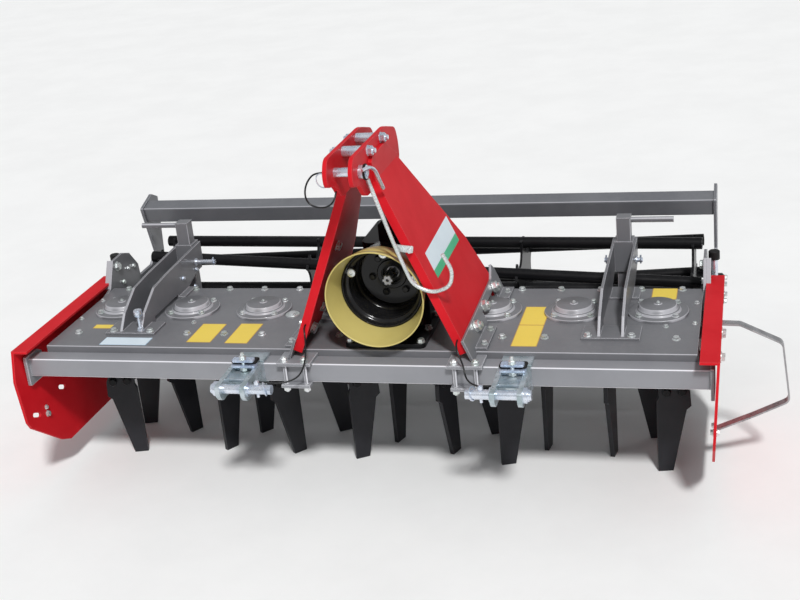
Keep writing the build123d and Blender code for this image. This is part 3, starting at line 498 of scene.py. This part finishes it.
def makeCovers(look):
    bm = bmesh.new()
    flange, cap, top = look["flange"], look["cap"], look["top"]
    profile = ((0, 0), (flange, 0), (flange, 6.8), (flange - 0.7, 8.3), (flange - 2.2, top), (cap + 14, top),
               (cap + 10.5, 9.6), (cap + 9, 11.5), (cap + 8.4, 14), (cap + 6.4, 15.4), (cap + 1.4, 15.4),
               (cap, 17), (cap - 1.6, 26.6), (cap - 4.2, 29), (13, 29), (12, 29.6), (11.4, 31.5), (7.6, 32),
               (0, 32))
    bolts = bmesh.new()
    for index, x in enumerate(rotorXs):
        if index == machine["drivenRotor"]:
            continue
        place = spot(x, 0, machine["plateTop"])
        lathe(bm, profile, 72, place)
        lathe(bolts, look["nipple"], 18, place)
        for quarter in range(4):
            boltX, boltY = around((x, 0), look["boltCircle"], math.radians(45 + 90 * quarter))
            seat = spot(boltX, boltY, machine["plateTop"] + top, turn=0.7 * index + quarter)
            hexBolt(bolts, seat, *look["bolt"])
    caps = newPiece("bearingCaps", bm, ["troughGrey"], sharp=50)
    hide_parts("bearing_covers")
    newPiece("coverBolts", bolts)


makeCovers(cover)
print("stage: top plate done")

# Blank labels on the top plate, each (left, right, front, rear), with a rim around each
labels = {
    "thick": 0.7, "rimThick": 0.4, "rim": 2.2, "round": 3, "blue": ((-822, -668, -284, -232),),
    "yellow": ((-539, -463, -257, -118), (-411, -341, -261, -114), (474, 546, -257, -107),
               (474, 546, -101, 36), (849, 921, 105, 190), (-907, -833, -158, -132))}


def makeLabels(look):
    bm = bmesh.new()
    place = Matrix.Translation(at(0, 0, machine["plateTop"])) @ Matrix.Scale(mm, 4)
    for mark, places in enumerate((look["yellow"], look["blue"])):
        for x0, x1, y0, y1 in places:
            for grow, thick, own in ((0.0, look["thick"], mark), (look["rim"], look["rimThick"], mark + 2)):
                left, right, front, rear = x0 - grow, x1 + grow, y0 - grow, y1 + grow
                corners = ((left, front), (right, front), (right, rear), (left, rear))
                prism(bm, rounded(corners, look["round"]), thick, place, own)
    newPiece("plateLabels", bm, ["labelYellow", "labelWhite", "labelRim", "labelBlue"])


makeLabels(labels)

# Blank two-colour plate on the right arm, by (y, z) on its outer face, which runs from top to bottom
armPlate = {
    "top": (153, 1012), "bottom": (364, 490), "lift": 0.05, "thick": 0.8, "band": 0.30,
    "corners": ((19, 779), (26, 699), (-281, 694), (-283, 770))}
(topX, topZ), (lowX, lowZ) = armPlate["top"], armPlate["bottom"]


def armOut(side=1):
    return Vector((side * (topZ - lowZ), 0, lowX - topX)).normalized()


def armSpot(y, z, out):  # a point at some distance out of the right arm's outer face
    return Vector((topX + (lowX - topX) * (topZ - z) / (topZ - lowZ), y, z)) + armOut() * out


def makeArmPlate(look):
    bm = bmesh.new()
    topRear, lowRear, lowFront, topFront = look["corners"]

    def between(a, b):
        return (a[0] + (b[0] - a[0]) * look["band"], a[1] + (b[1] - a[1]) * look["band"])

    bandRear, bandFront = between(lowRear, topRear), between(lowFront, topFront)
    panels = ((topRear, bandRear, bandFront, topFront), (bandRear, lowRear, lowFront, bandFront))
    for mark, panel in enumerate(panels):
        levels = (look["lift"], look["thick"])
        addSolid(bm, [[bm.verts.new(at(*armSpot(y, z, level))) for y, z in panel] for level in levels], mark)
    newPiece("armPlate", bm, ["labelWhite", "labelGreen"])


makeArmPlate(armPlate)

# Headstock: cheek plates, spacer bolts, the top pin's handle and its wire ring
headstock = {
    "spacerYs": (-244, -378), "spacerZ": 1100, "spacerBolt": (24, 14, 15.5),
    "spacerStud": 7, "pinY": -470, "pinZ": 1068, "cheekThick": 12, "cheekRound": 24,
    "handle": ((158, -494, 1079), (172, -478, 1083), (176, -440, 1066), (176, -376, 993)),
    "handleWire": 5, "handleCurve": 18, "ringRadius": 20, "ringWire": 1.8, "edge": 1.2,
    "crossWire": 2.6, "headOut": 20, "head": ((0, 0), (10, 0), (12.2, 1.2), (12.2, 3), (0, 3)),
    "washerOut": 13, "washer": ((12.6, 0), (21, 0), (22, 1.5), (22, 5), (20.5, 6.5), (12.6, 6.5)),
    "cheek": ((-532, 1042), (-540, 1078), (-518, 1118), (-190, 1118), (-82, 1088), (-62, 1040),
              (-62, 985), (-430, 985), (-480, 1036))}


def makeHeadstock(look):
    outer = machine["hitchX"] + machine["cheekOut"]
    bm = bmesh.new()
    for x in (outer - look["cheekThick"], mirrorX(outer)):
        prism(bm, rounded(look["cheek"], look["cheekRound"], 6), look["cheekThick"], acrossX(x))
    softEdges(bm, look["edge"])
    plates = newPiece("cheekPlates", bm, ["redPaint"])
    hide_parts("headstock_cheeks")

    bm = bmesh.new()
    for y in look["spacerYs"]:
        for x, aim in ((outer, (1, 0, 0)), (mirrorX(outer), (-1, 0, 0))):
            hexBolt(bm, spot(x, y, look["spacerZ"], aim, 0.4), *look["spacerBolt"], stud=look["spacerStud"])
    bentRod(bm, look["handle"], look["handleWire"], look["handleCurve"])
    y, z = look["pinY"], look["pinZ"]
    lathe(bm, look["head"], 28, spot(outer + look["headOut"], y, z, (1, 0, 0)))
    pinEnd = mirrorX(outer) - 14
    wireRing(bm, spot(pinEnd - 9, y - 3, z - 21, (0.3, 1, 0.1)), look["ringRadius"], look["ringWire"])
    bentRod(bm, ((pinEnd + 6, y - 20, z + 3), (pinEnd + 6, y + 20, z + 3)), look["crossWire"])
    newPiece("headstockBolts", bm, ["zincPin"])

    bm = bmesh.new()
    lathe(bm, look["washer"], 36, spot(outer + look["washerOut"], y, z, (1, 0, 0)), closed=True)
    newPiece("pinWasher", bm, ["rubber"])


makeHeadstock(headstock)

# Drive shaft hook: a long bent rod on a short strip
hook = {
    "rod": ((148, -423, 1034), (186, -361, 822), (227.5, -361, 704), (285, -361, 680), (335, -361, 700),
            (345, -361, 745), (320, -361, 796)), "radius": 5.6, "curve": 60, "strip": (212, -352, 810),
    "stripTurn": -0.12, "stripSize": (50, 20, 6, 4, 0.8), "boltAt": (228, -358, 806), "bolt": (13, 6, 8.5)}


def makeHook(look):
    bm = bmesh.new()
    bentRod(bm, look["rod"], look["radius"], look["curve"], sides=14)
    softBlock(bm, spot(*look["strip"], (0, -1, 0), look["stripTurn"]), *look["stripSize"])
    hexBolt(bm, spot(*look["boltAt"], (0, -1, 0), 0.3), *look["bolt"])
    rod = newPiece("shaftHook", bm, ["zincRod"], sharp=50)
    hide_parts("shaft_hook")


makeHook(hook)

# Feet of the arms: large bolts through the webs, smaller ones inside the arms and on the pads
feet = {
    "webBolts": ((-209, 511), (-68, 517), (95, 514)), "webOut": 8, "webIn": -10,
    "webBolt": (30, 13, 18), "webStud": 8, "innerBolts": ((-149, 554), (-192, 767)),
    "innerBolt": (24, 11, 15), "padBolts": ((397, -262), (397, -160), (397, 142)), "padBolt": (15, 8, 10)}


def makeFeetBolts(look):
    bm = bmesh.new()

    def armBolt(side, y, z, out, turn, bolt, stud=0.0):  # outside the arm, or inside it where out is negative
        place = armSpot(y, z, out)
        x = place.x if side > 0 else mirrorX(place.x)
        aim = armOut(side) if out > 0 else -armOut(side)
        hexBolt(bm, spot(x, y, place.z, aim, turn), *bolt, stud=stud)

    for side in (1, -1):
        for n, (y, z) in enumerate(look["webBolts"]):
            armBolt(side, y, z, look["webOut"], 0.5 * n, look["webBolt"], look["webStud"])
            armBolt(side, y, z, look["webIn"], 0.8 * n, look["webBolt"])
        for n, (y, z) in enumerate(look["innerBolts"]):
            armBolt(side, y, z, look["webIn"], 0.6 * n, look["innerBolt"])
        for n, (x, y) in enumerate(look["padBolts"]):
            x = x if side > 0 else mirrorX(x)
            hexBolt(bm, spot(x, y, machine["padTop"], turn=n), *look["padBolt"])
    newPiece("feetBolts", bm)


makeFeetBolts(feet)

# Beam clamps: nuts above the caps and under the straps
clamps = {
    "centres": (-154, 358), "rodOffset": 31, "rodY": -367, "capTop": 464, "strapLow": 384,
    "nut": (19, 10, 12), "stud": 4}


def makeClampNuts(look):
    bm = bmesh.new()
    for centre in look["centres"]:
        for n, x in enumerate((centre - look["rodOffset"], centre + look["rodOffset"])):
            for z, aim, turn in ((look["capTop"], (0, 0, 1), 0.4), (look["strapLow"], (0, 0, -1), 0.2)):
                hexBolt(bm, spot(x, look["rodY"], z, aim, turn + n), *look["nut"], stud=look["stud"])
    newPiece("clampNuts", bm)


makeClampNuts(clamps)
print("stage: headstock done")

# Lower hitch: a bracket with two ears, and on it two plates, a rubber pad between them and a bolt through
# their noses, each layer as (width, rear, front), thickness, lip and material
hitch = {
    "base": 462, "boltY": -403, "boltTop": 508, "boltRadius": 5.5, "lowNut": (21, 9, 12.5),
    "highNut": (19, 9, 11), "layerRound": 7, "pinY": -500, "pinZ": 437,
    "layers": (((74, -380, -414), 7.5, 0.8, 0), ((79, -366, -402), 9, 2.6, 1),
               ((66, -386, -412), 7.5, 0.8, 0)),
    "earOuter": 45, "linchOut": 29, "linchWire": 4.6, "linchHead": (14, 14, 11, 4, 1.2),
    "ringOut": 52, "ringRadius": 19, "ringWire": 2.2, "collarOut": 12,
    "collar": ((14, 0), (17, 0), (17, 5), (14, 5)), "earThick": 14, "plateFront": -359,
    "beamRear": -298, "beamPlates": ((454, 8), (384, 10)),
    "ear": ((-358, 462), (-398, 462), (-534, 457), (-530, 425), (-512, 403), (-482, 407), (-388, 384),
            (-358, 384)),
    "web": ((-358, 462), (-386, 462), (-390, 446), (-476, 454), (-488, 464), (-484, 449), (-394, 434),
            (-370, 434), (-370, 384), (-358, 384))}


def makeHitchBrackets(look):
    bm = bmesh.new()
    outer, thick = look["earOuter"], look["earThick"]
    depth = look["beamRear"] - look["plateFront"]
    for x in machine["lowerHitch"]:
        for start in (x - outer, x + outer - thick):
            prism(bm, rounded(look["ear"], 14, 5), thick, acrossX(start))
        prism(bm, rounded(look["web"], 3, 2), 2 * (outer - thick), acrossX(x - outer + thick))
        for z, height in look["beamPlates"]:
            softBlock(bm, spot(x, look["beamRear"] - depth / 2, z), 2 * outer, depth, height, 2, 0.8)
    softEdges(bm, 1)
    bracket = newPiece("hitchBrackets", bm, ["zincPlate"])
    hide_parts("lower_hitch_brackets")


def makeHitchParts(look):
    steel = bmesh.new()
    stack = bmesh.new()
    boltY = look["boltY"]
    for x, inward in zip(machine["lowerHitch"], (1, -1)):
        top = look["base"]
        for (width, rear, front), thick, lip, mark in look["layers"]:
            place = spot(x, (rear + front) / 2, top)
            softBlock(stack, place, width, rear - front, thick, look["layerRound"], lip, mark)
            top += thick
        stud = look["boltTop"] - top - 12
        hexBolt(stack, spot(x, boltY, top, turn=0.35), *look["highNut"], stud, 2)
        bentRod(stack, ((x, boltY, look["base"]), (x, boltY, top)), look["boltRadius"], mark=2)
        hexBolt(stack, spot(x, boltY, look["base"], (0, 0, -1), 0.5), *look["lowNut"], 3, 2)
        y, z = look["pinY"], look["pinZ"]
        linchX = x + inward * (look["earOuter"] + look["linchOut"])
        bentRod(steel, ((linchX, y, z - 24), (linchX, y, z + 28)), look["linchWire"])
        softBlock(steel, spot(linchX, y, z + 15), *look["linchHead"])
        ringX = x + inward * (look["earOuter"] + look["ringOut"])
        hung = spot(ringX, y - 2, z + 3, (1, 0.3 * inward, 0.2))
        wireRing(steel, hung, look["ringRadius"], look["ringWire"])
        collarX = x - inward * (look["earOuter"] + look["collarOut"])
        lathe(steel, look["collar"], 28, spot(collarX, y, z, (-inward, 0, 0)), closed=True)
    plates = newPiece("hitchStacks", stack, ["zincBlue", "rubber", "zincBolt"])
    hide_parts("hitch_stacks")
    newPiece("linchPins", steel, ["zincPin"])


makeHitchBrackets(hitch)
makeHitchParts(hitch)

# Guard of the input shaft: an open cone with a rolled rim, on a stepped black cup with three screw seats
guard = {
    "frontY": -340, "rearY": -235, "frontRadius": 147, "rearRadius": 128, "wall": 4,
    "grooveIn": 26, "seatY": -124, "screwAngles": (84.5, 14.5, 154.5), "screwCircle": 103,
    "screwY": -230, "baseCircle": 62, "baseBolt": (17, 8, 11),
    "screwSeat": ((0, -18), (15, -18), (16, -8), (16, 1.5), (14.5, 3), (0, 3)),
    "screwHead": ((0, 2), (13.5, 2), (13.5, 5), (12.6, 6.6), (9.5, 7.6), (5.5, 7.8), (4.4, 5.5),
                  (0, 5.5))}


def makeGuard(look):
    place = spot(machine["hitchX"], 0, machine["driveZ"], (0, 1, 0))
    front, rear, seat = look["frontY"], look["rearY"], look["seatY"]
    big, small, wall = look["frontRadius"], look["rearRadius"], look["wall"]

    def outer(y):
        return small + (big - small) * (rear - y) / (rear - front)

    def turnScrews(bm, profile, count):
        for angle in look["screwAngles"]:
            x, z = around(driveAxis, look["screwCircle"], math.radians(angle))
            lathe(bm, profile, count, spot(x, look["screwY"], z, (0, -1, 0)))

    bm = bmesh.new()
    groove = front + look["grooveIn"]
    profile = ((outer(rear) - wall, rear - 1), (outer(rear) - 1, rear), (outer(rear), rear - 1.5),
               (outer(groove + 9), groove + 9), (outer(groove + 8) - 2.2, groove + 7),
               (outer(groove + 2) - 2.2, groove + 1), (outer(groove) + 0.2, groove - 1),
               (outer(front + 6), front + 6), (outer(front), front + 3.2), (big - 0.6, front + 0.8),
               (big - 2.2, front), (big - 4.4, front + 1.2), (big - wall - 0.8, front + 4),
               (outer(-300) - wall, -300), (outer(rear) - wall + 0.4, rear - 12))
    lathe(bm, profile, 96, place, closed=True)
    cone = newPiece("inputGuard", bm, ["guardYellow"], sharp=60)
    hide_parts("input_guard")

    bm = bmesh.new()
    lip = small - wall - 0.3
    cup = ((96, seat), (104, seat), (104, -149), (106, -153), (111, -155), (112, -158), (112, -214),
           (114, -220), (lip - 2, -222), (lip, -225), (lip, -248), (lip - 1.5, -249), (lip - 6, -249),
           (lip - 6.5, -236), (lip - 12, -231), (107, -229), (104.5, -226), (104, -216), (102.5, -200),
           (104, -190), (104, -163), (102, -160), (97, -158), (96, -154), (96, -140))
    lathe(bm, cup, 96, place, closed=True)
    turnScrews(bm, look["screwSeat"], 32)
    holder = newPiece("guardCup", bm, ["blackPlastic"], sharp=60)
    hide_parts("guard_cup", "cup_collar")

    bm = bmesh.new()
    disc = ((30, seat), (33, seat), (33, seat - 5), (44, seat - 7), (46, seat - 5), (46, seat), (90, seat),
            (95.5, seat - 3), (95.5, seat), (104, seat + 0.2), (104, seat + 14), (30, seat + 14))
    lathe(bm, disc, 72, place, closed=True)
    for n in range(6):
        turn = math.radians(60 * n + 8)
        x, z = around(driveAxis, look["baseCircle"], turn)
        hexBolt(bm, spot(x, seat, z, (0, -1, 0), turn), *look["baseBolt"])
    base = newPiece("cupBase", bm, ["blackPlastic"])
    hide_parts("cup_base")

    bm = bmesh.new()
    turnScrews(bm, look["screwHead"], 30)
    newPiece("guardScrews", bm)


makeGuard(guard)

# Input shaft: six splines on the free end, a centre hole, and a plain journal behind
shaft = {
    "tipY": -183, "stepY": -112, "seatY": -46.5, "splineRadius": 17.4, "rootRadius": 14.6,
    "journal": 19.9, "chamfer": 2.5, "toothAngles": (-14, 0, 14), "rootAngles": (-15.5, 15.5, 30),
    "bore": ((5.2, 0), (3.2, 3), (2.6, 9))}


def makeShaft(look):
    bm = bmesh.new()
    place = spot(machine["hitchX"], 0, machine["driveZ"], (0, 1, 0))
    tooth = [(angle, look["splineRadius"]) for angle in look["toothAngles"]]
    tooth += [(angle, look["rootRadius"]) for angle in look["rootAngles"]]
    outline = [(math.radians(60 * n) + math.radians(offset), radius)
               for n in range(6) for offset, radius in sorted(tooth)]

    def ring(y, radii):
        return [bm.verts.new(place @ Vector((*around((0, 0), radius, angle), y)))
                for (angle, own), radius in zip(outline, radii)]

    def splines(y, shrink):
        return ring(y, [radius - shrink for angle, radius in outline])

    tip, chamfer, step, seat = look["tipY"], look["chamfer"], look["stepY"], look["seatY"]
    rings = [splines(tip, chamfer), splines(tip + chamfer, 0), splines(step - 6, 0), splines(step, -0.5)]
    addWalls(bm, rings)
    bore = [ring(tip + depth, [radius] * len(outline)) for radius, depth in look["bore"]]
    addWalls(bm, [rings[0]] + bore)
    bm.faces.new(bore[-1])
    journal = look["journal"]
    lathe(bm, ((0, step - 1), (19, step - 1), (journal, step), (journal, seat), (0, seat)), 48, place)
    piece = newPiece("splinedShaft", bm, ["groundSteel"], body="drive_input")
    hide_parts("input_shaft")


makeShaft(shaft)
print("stage: drive done")

# Gearbox: base bolts, and bolted covers on both sides and behind
gearboxTrim = {
    "baseTop": 488, "boltXs": (-108, 108), "boltYs": (-268, -170, -60, 60),
    "width": 190, "middleY": 5, "rearY": 120, "baseBolt": (19, 9, 12.5),
    "coverBolt": (13, 6, 0.0), "sideCircle": 51, "sideLift": 6, "rearCircle": 60, "rearLift": 8,
    "side": ((0, 0), (62, 0), (62, 4), (60, 6), (42, 6), (40, 9), (18, 9), (16, 12), (0, 12)),
    "rear": ((0, 0), (70, 0), (70, 5), (67, 8), (30, 8), (27, 16), (0, 16))}


def makeGearboxTrim(look):
    bm = bmesh.new()
    centre, middle, rear = machine["hitchX"], look["middleY"], look["rearY"]
    for x in look["boltXs"]:
        for n, y in enumerate(look["boltYs"]):
            hexBolt(bm, spot(centre + x, y, look["baseTop"], turn=0.7 * n), *look["baseBolt"])
    newPiece("gearboxBolts", bm)

    bm = bmesh.new()
    for side in (1, -1):
        face = centre + side * look["width"] / 2
        lathe(bm, look["side"], 60, spot(face, middle, machine["driveZ"], (side, 0, 0)))
        for n in range(6):
            y, z = around((middle, machine["driveZ"]), look["sideCircle"], math.radians(60 * n + 30))
            hexBolt(bm, spot(face + side * look["sideLift"], y, z, (side, 0, 0), n), *look["coverBolt"])
    lathe(bm, look["rear"], 60, spot(centre, rear, machine["driveZ"], (0, 1, 0)))
    for n in range(6):
        x, z = around(driveAxis, look["rearCircle"], math.radians(60 * n))
        hexBolt(bm, spot(x, rear + look["rearLift"], z, (0, 1, 0), n), *look["coverBolt"])
    newPiece("gearboxCovers", bm, ["blackPaint"])


makeGearboxTrim(gearboxTrim)

# Levelling supports: the locking pins' ends with their clips, and a stop bolt on the left one
supportPins = {
    "y": 270, "z": 541, "radius": 7.5, "plate": 38, "clip": 12, "clipWire": 2.6,
    "ring": 12.5, "ringWire": 1.8, "reach": {(-1, 1): 110, (-1, -1): 58, (1, 1): 58, (1, -1): 62},
    "washer": ((0, 0), (13, 0), (13, 3), (0, 3)), "stop": (-724, -188, 482), "stopHeight": 52,
    "stopRadius": 6, "stopNut": (19, 9, 12),
    "stopHead": ((0, 48), (12.5, 48), (13.5, 50), (13.5, 66), (12, 69), (0, 69)),
    "screws": ((-715, 261, 517), (-715, 149, 527), (-715, 232, 466)), "screw": (11, 5, 7.5)}


def makeSupportPins(look):
    bm = bmesh.new()
    y, z = look["y"], look["z"]
    for (side, end), reach in look["reach"].items():
        centre = side * machine["supportX"]
        start, tip = centre + end * look["plate"], centre + end * reach
        bentRod(bm, ((start, y, z), (tip, y, z)), look["radius"], sides=20)
        lathe(bm, look["washer"], 28, spot(start, y, z, (end, 0, 0)))
        clipX = tip - end * 6
        bentRod(bm, ((clipX, y, z - look["clip"]), (clipX, y, z + look["clip"] + 4)), look["clipWire"])
        wireRing(bm, spot(clipX, y - 3, z + 3, (1, 0.2, 0)), look["ring"], look["ringWire"])
    x, y, z = look["stop"]
    bentRod(bm, (look["stop"], (x, y, z + look["stopHeight"])), look["stopRadius"])
    hexBolt(bm, spot(x, y, z), *look["stopNut"])
    lathe(bm, look["stopHead"], 32, spot(x, y, z))
    for n, place in enumerate(look["screws"]):
        hexBolt(bm, spot(*place, (1, 0, 0), n), *look["screw"])
    newPiece("supportPins", bm, ["zincPin"])


makeSupportPins(supportPins)

# Side plates: bolts in the slots, on the spacer bushes and at the hoop, each (y, z, width across flats)
sideBolts = {
    "plateX": 1063, "thick": 8, "lean": math.radians(3), "topZ": 494,
    "outer": ((120, 276, 20), (-150, 400, 24), (20, 400, 24), (-308, 239, 15)),
    "inner": ((120, 276, 19), (-308, 239, 15), (-308, 262, 11))}


def makeSideBolts(look):
    bm = bmesh.new()
    for side in (-1, 1):
        out = Vector((side * math.cos(look["lean"]), 0, -math.sin(look["lean"])))
        for aim, depth, places in ((out, 0.0, look["outer"]), (-out, look["thick"], look["inner"])):
            for n, (y, z, across) in enumerate(places):
                x = look["plateX"] - depth - (look["topZ"] - z) * math.tan(look["lean"])
                hexBolt(bm, spot(side * x, y, z, aim, 0.6 * n), across, 0.45 * across, 0.72 * across)
    newPiece("sidePlateBolts", bm)


makeSideBolts(sideBolts)

# Hinge brackets: folded front flanges, their bolts, and beside each an upright rod with a lug and a sleeve
hingeTrim = {
    "face": 1000, "plate": 8, "flange": ((215, 566), (165, 480), (172, 476), (222, 562)), "flangeOut": 15,
    "bolts": ((236, 538, 24), (352, 497, 13), (311, 503, 11), (262, 470, 13)),
    "rod": (1030, 290, 478, 560), "rodRadius": 11.5, "sleeve": (536, 563, 17.5), "lug": (26, 18, 12, 486)}


def makeHingeTrim(look):
    outer = look["face"] + look["plate"]
    bm = bmesh.new()
    for side in (-1, 1):
        start = outer if side > 0 else -outer - look["flangeOut"]
        prism(bm, look["flange"], look["flangeOut"], acrossX(start))
    softEdges(bm, 0.9)
    newPiece("hingeFlanges", bm, ["troughGrey"])

    bm = bmesh.new()
    for side in (-1, 1):
        for n, (y, z, across) in enumerate(look["bolts"]):
            inside = spot(side * look["face"], y, z, (-side, 0, 0), n)
            hexBolt(bm, inside, across, 0.42 * across, 0.7 * across)
            hexBolt(bm, spot(side * outer, y, z, (side, 0, 0), n), across, 0.3 * across, 0.0)
    newPiece("hingeBolts", bm)

    bm = bmesh.new()
    x, y, low, high = look["rod"]
    sleeveLow, sleeveHigh, sleeveRadius = look["sleeve"]
    sleeve = ((0, sleeveLow), (sleeveRadius, sleeveLow), (sleeveRadius, sleeveHigh - 2),
              (sleeveRadius - 2, sleeveHigh), (0, sleeveHigh))
    width, depth, height, lugZ = look["lug"]
    for side in (-1, 1):
        bentRod(bm, ((side * x, y, low), (side * x, y, high)), look["rodRadius"], sides=24)
        softBlock(bm, spot(side * (outer + width / 2 - 0.5), y, lugZ), width, depth, height, 3, 0.8, 1)
        lathe(bm, sleeve, 24, spot(side * x, y, 0), 1)
    newPiece("stopRods", bm, ["zincPin", "rubber"])


makeHingeTrim(hingeTrim)
print("stage: sides done")

# Lanyards: sheathed wires from the pins, each along the points of its solid
wires = {
    "topLanyard": {"node": "top_lanyard", "length": 0.225, "points": (
        (47, -470, 1068), (27, -470, 1068), (8, -473, 1061), (-9, -477, 1037), (-14, -480, 1009),
        (-6, -483, 988), (12, -485, 978), (36, -484, 974), (56, -478, 980), (67, -468, 997),
        (67, -455, 1010.4))},
    "leftLanyard": {"node": "left_lanyard", "length": 0.300, "points": (
        (-112, -343.2, 572), (-112, -362, 572), (-105, -378, 552), (-103, -388, 522), (-106, -394, 492),
        (-113, -402, 462), (-126, -412, 440), (-147, -424, 430), (-172, -434, 427), (-200, -441, 429),
        (-228, -445, 434), (-253, -445, 434))},
    "rightLanyard": {"node": "right_lanyard", "length": 0.222, "points": (
        (337, -341.7, 528), (337, -361, 528), (342, -379, 514), (353, -390, 492), (362, -398, 470),
        (367, -411, 451), (378, -426, 440), (396, -436, 434), (417, -442, 433), (437, -445, 437),
        (457, -445, 437))},
}
wireDiameter = 0.005


def makeWire(name, look):
    curve = bpy.data.curves.new(name, "CURVE")
    curve.dimensions = "3D"
    curve.bevel_depth = wireDiameter / 2
    curve.bevel_resolution = 4
    curve.resolution_u = 8
    curve.use_fill_caps = True
    spline = curve.splines.new("NURBS")
    spline.points.add(len(look["points"]) - 1)
    for point, place in zip(spline.points, look["points"]):
        point.co = (*at(*place), 1)
    spline.order_u = 3
    spline.use_endpoint_u = True
    curve.materials.append(finish["wireSheath"])
    wire = newObject(name, curve)
    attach(wire, "machine")
    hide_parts(look["node"])


for name, look in wires.items():
    makeWire(name, look)
print("stage: lanyards done")

# Rotors: two bolts on each blade, beside the blade's own direction
bladeBolts = {
    "azimuths": (-75, -33, -40, -58, -19, -70, -8, -79), "face": 113, "z": 266,
    "bolt": (24, 11, 14), "offsets": (-4, -50)}


def makeBladeBolts(look):
    for index, x in enumerate(rotorXs):
        bm = bmesh.new()
        handed = 1 if index % 2 == 0 else -1
        for turn in (0, 180):
            angle = math.radians(look["azimuths"][index] + turn)
            out = Vector((math.cos(angle), math.sin(angle), 0))
            along = Vector((-math.sin(angle), math.cos(angle), 0))
            for offset in look["offsets"]:
                place = Vector((x, 0, look["z"])) + out * look["face"] + along * handed * offset
                hexBolt(bm, spot(*place, out, 0.3), *look["bolt"])
        newPiece(f"bladeBolts{index + 1}", bm, ["blackPaint"], f"rotor_{index + 1}")


makeBladeBolts(bladeBolts)

# Roller: bolts of the bearings, and the nuts on the hinge pins
rollerTrim = {
    "bearingX": 1054, "bearing": (575, 320), "circle": 43, "bolt": (15, 8, 9.5),
    "hinge": (1040, 300, 400), "hingeNut": (30, 12, 20)}


def makeRollerTrim(look):
    bm = bmesh.new()
    for side in (-1, 1):
        for n in range(4):
            y, z = around(look["bearing"], look["circle"], math.radians(45 + 90 * n))
            hexBolt(bm, spot(side * look["bearingX"], y, z, (side, 0, 0), 0.5 * n), *look["bolt"])
    newPiece("bearingBolts", bm, body="roller_frame")
    bm = bmesh.new()
    x, y, z = look["hinge"]
    for side in (-1, 1):
        hexBolt(bm, spot(side * x, y, z, (side, 0, 0)), *look["hingeNut"])
    newPiece("hingeNuts", bm)


makeRollerTrim(rollerTrim)
print("stage: rotors and roller done")

# Camera as fitted to the photograph: place in millimetres, angles in degrees, focus and width in pixels
view = {
    "place": (1140, -3646, 2003.5), "heading": 16.19, "down": 21.46, "roll": -5.86, "focus": 1304.1,
    "imageWidth": 800, "sensor": 36}


def makeCamera(look):
    heading, down, roll = (math.radians(look[key]) for key in ("heading", "down", "roll"))
    ahead = Vector((-math.sin(heading) * math.cos(down), math.cos(heading) * math.cos(down), -math.sin(down)))
    level = Vector((math.cos(heading), math.sin(heading), 0))
    above = level.cross(ahead)
    right = math.cos(roll) * level + math.sin(roll) * above
    up = -math.sin(roll) * level + math.cos(roll) * above
    lens = bpy.data.cameras.new("photoCamera")
    lens.sensor_width = look["sensor"]
    lens.lens = look["sensor"] * look["focus"] / look["imageWidth"]
    camera = newObject("photoCamera", lens)
    turn = Matrix((right, up, -ahead)).transposed().to_4x4()
    camera.matrix_world = Matrix.Translation(at(*look["place"])) @ turn
    bpy.context.scene.camera = camera


makeCamera(view)

# Pale floor, even sky and one soft sun
stageLook = {
    "floor": (0.93, 0.93, 0.92), "mottled": 0.96, "roughness": 0.7, "half": 40, "low": -0.0005,
    "skyTop": (0.95, 0.97, 1), "skyLow": (0.88, 0.88, 0.87), "backdrop": (0.90, 0.90, 0.89),
    "ambient": 0.42, "sun": 2.6, "sunAngle": 7, "sunFrom": (0.35, -0.80, 1)}


def makeFloor(look):
    mesh = bpy.data.meshes.new("studioFloor")
    half = look["half"]
    corners = [(-half, -half, 0), (half, -half, 0), (half, half, 0), (-half, half, 0)]
    mesh.from_pydata(corners, [], [(0, 1, 2, 3)])
    floor = newObject("studioFloor", mesh)
    floor.location.z = look["low"]
    material, tree, shader = startMaterial("studioFloor")
    darker = tuple(look["mottled"] * channel for channel in look["floor"])
    patches = spread(tree, noise(tree, 2, 6, 0.65), 0.3, 0.7)
    tone = mixColor(tree, patches, opaque(look["floor"]), opaque(darker))
    fill(tree, shader, {"Base Color": tone, "Roughness": look["roughness"]})
    mesh.materials.append(material)


def makeLight(look):
    world = bpy.data.worlds.new("studioWorld")
    bpy.context.scene.world = world
    world.use_nodes = True
    tree = world.node_tree
    parts = splitAxes(tree, coordinate(tree, "Generated"))
    sky = mixColor(tree, spread(tree, parts["Z"], -0.05, 0.6), opaque(look["skyLow"]), opaque(look["skyTop"]))
    rays = addNode(tree, "ShaderNodeLightPath").outputs
    seen = mathNode(tree, "ADD", rays["Is Camera Ray"], rays["Is Transmission Ray"], clamp=True)
    strength = mathNode(tree, "ADD", look["ambient"], mathNode(tree, "MULTIPLY", seen, 1 - look["ambient"]))
    shown = mixColor(tree, seen, sky, opaque(look["backdrop"]))
    fill(tree, tree.nodes["Background"], {"Color": shown, "Strength": strength})
    sun = bpy.data.lights.new("studioSun", "SUN")
    sun.energy = look["sun"]
    sun.angle = math.radians(look["sunAngle"])
    lamp = newObject("studioSun", sun)
    lamp.rotation_euler = Vector(look["sunFrom"]).to_track_quat("Z", "Y").to_euler()


makeFloor(stageLook)
makeLight(stageLook)
bpy.context.scene.view_settings.view_transform = "Standard"
print("stage: camera, floor and light done")
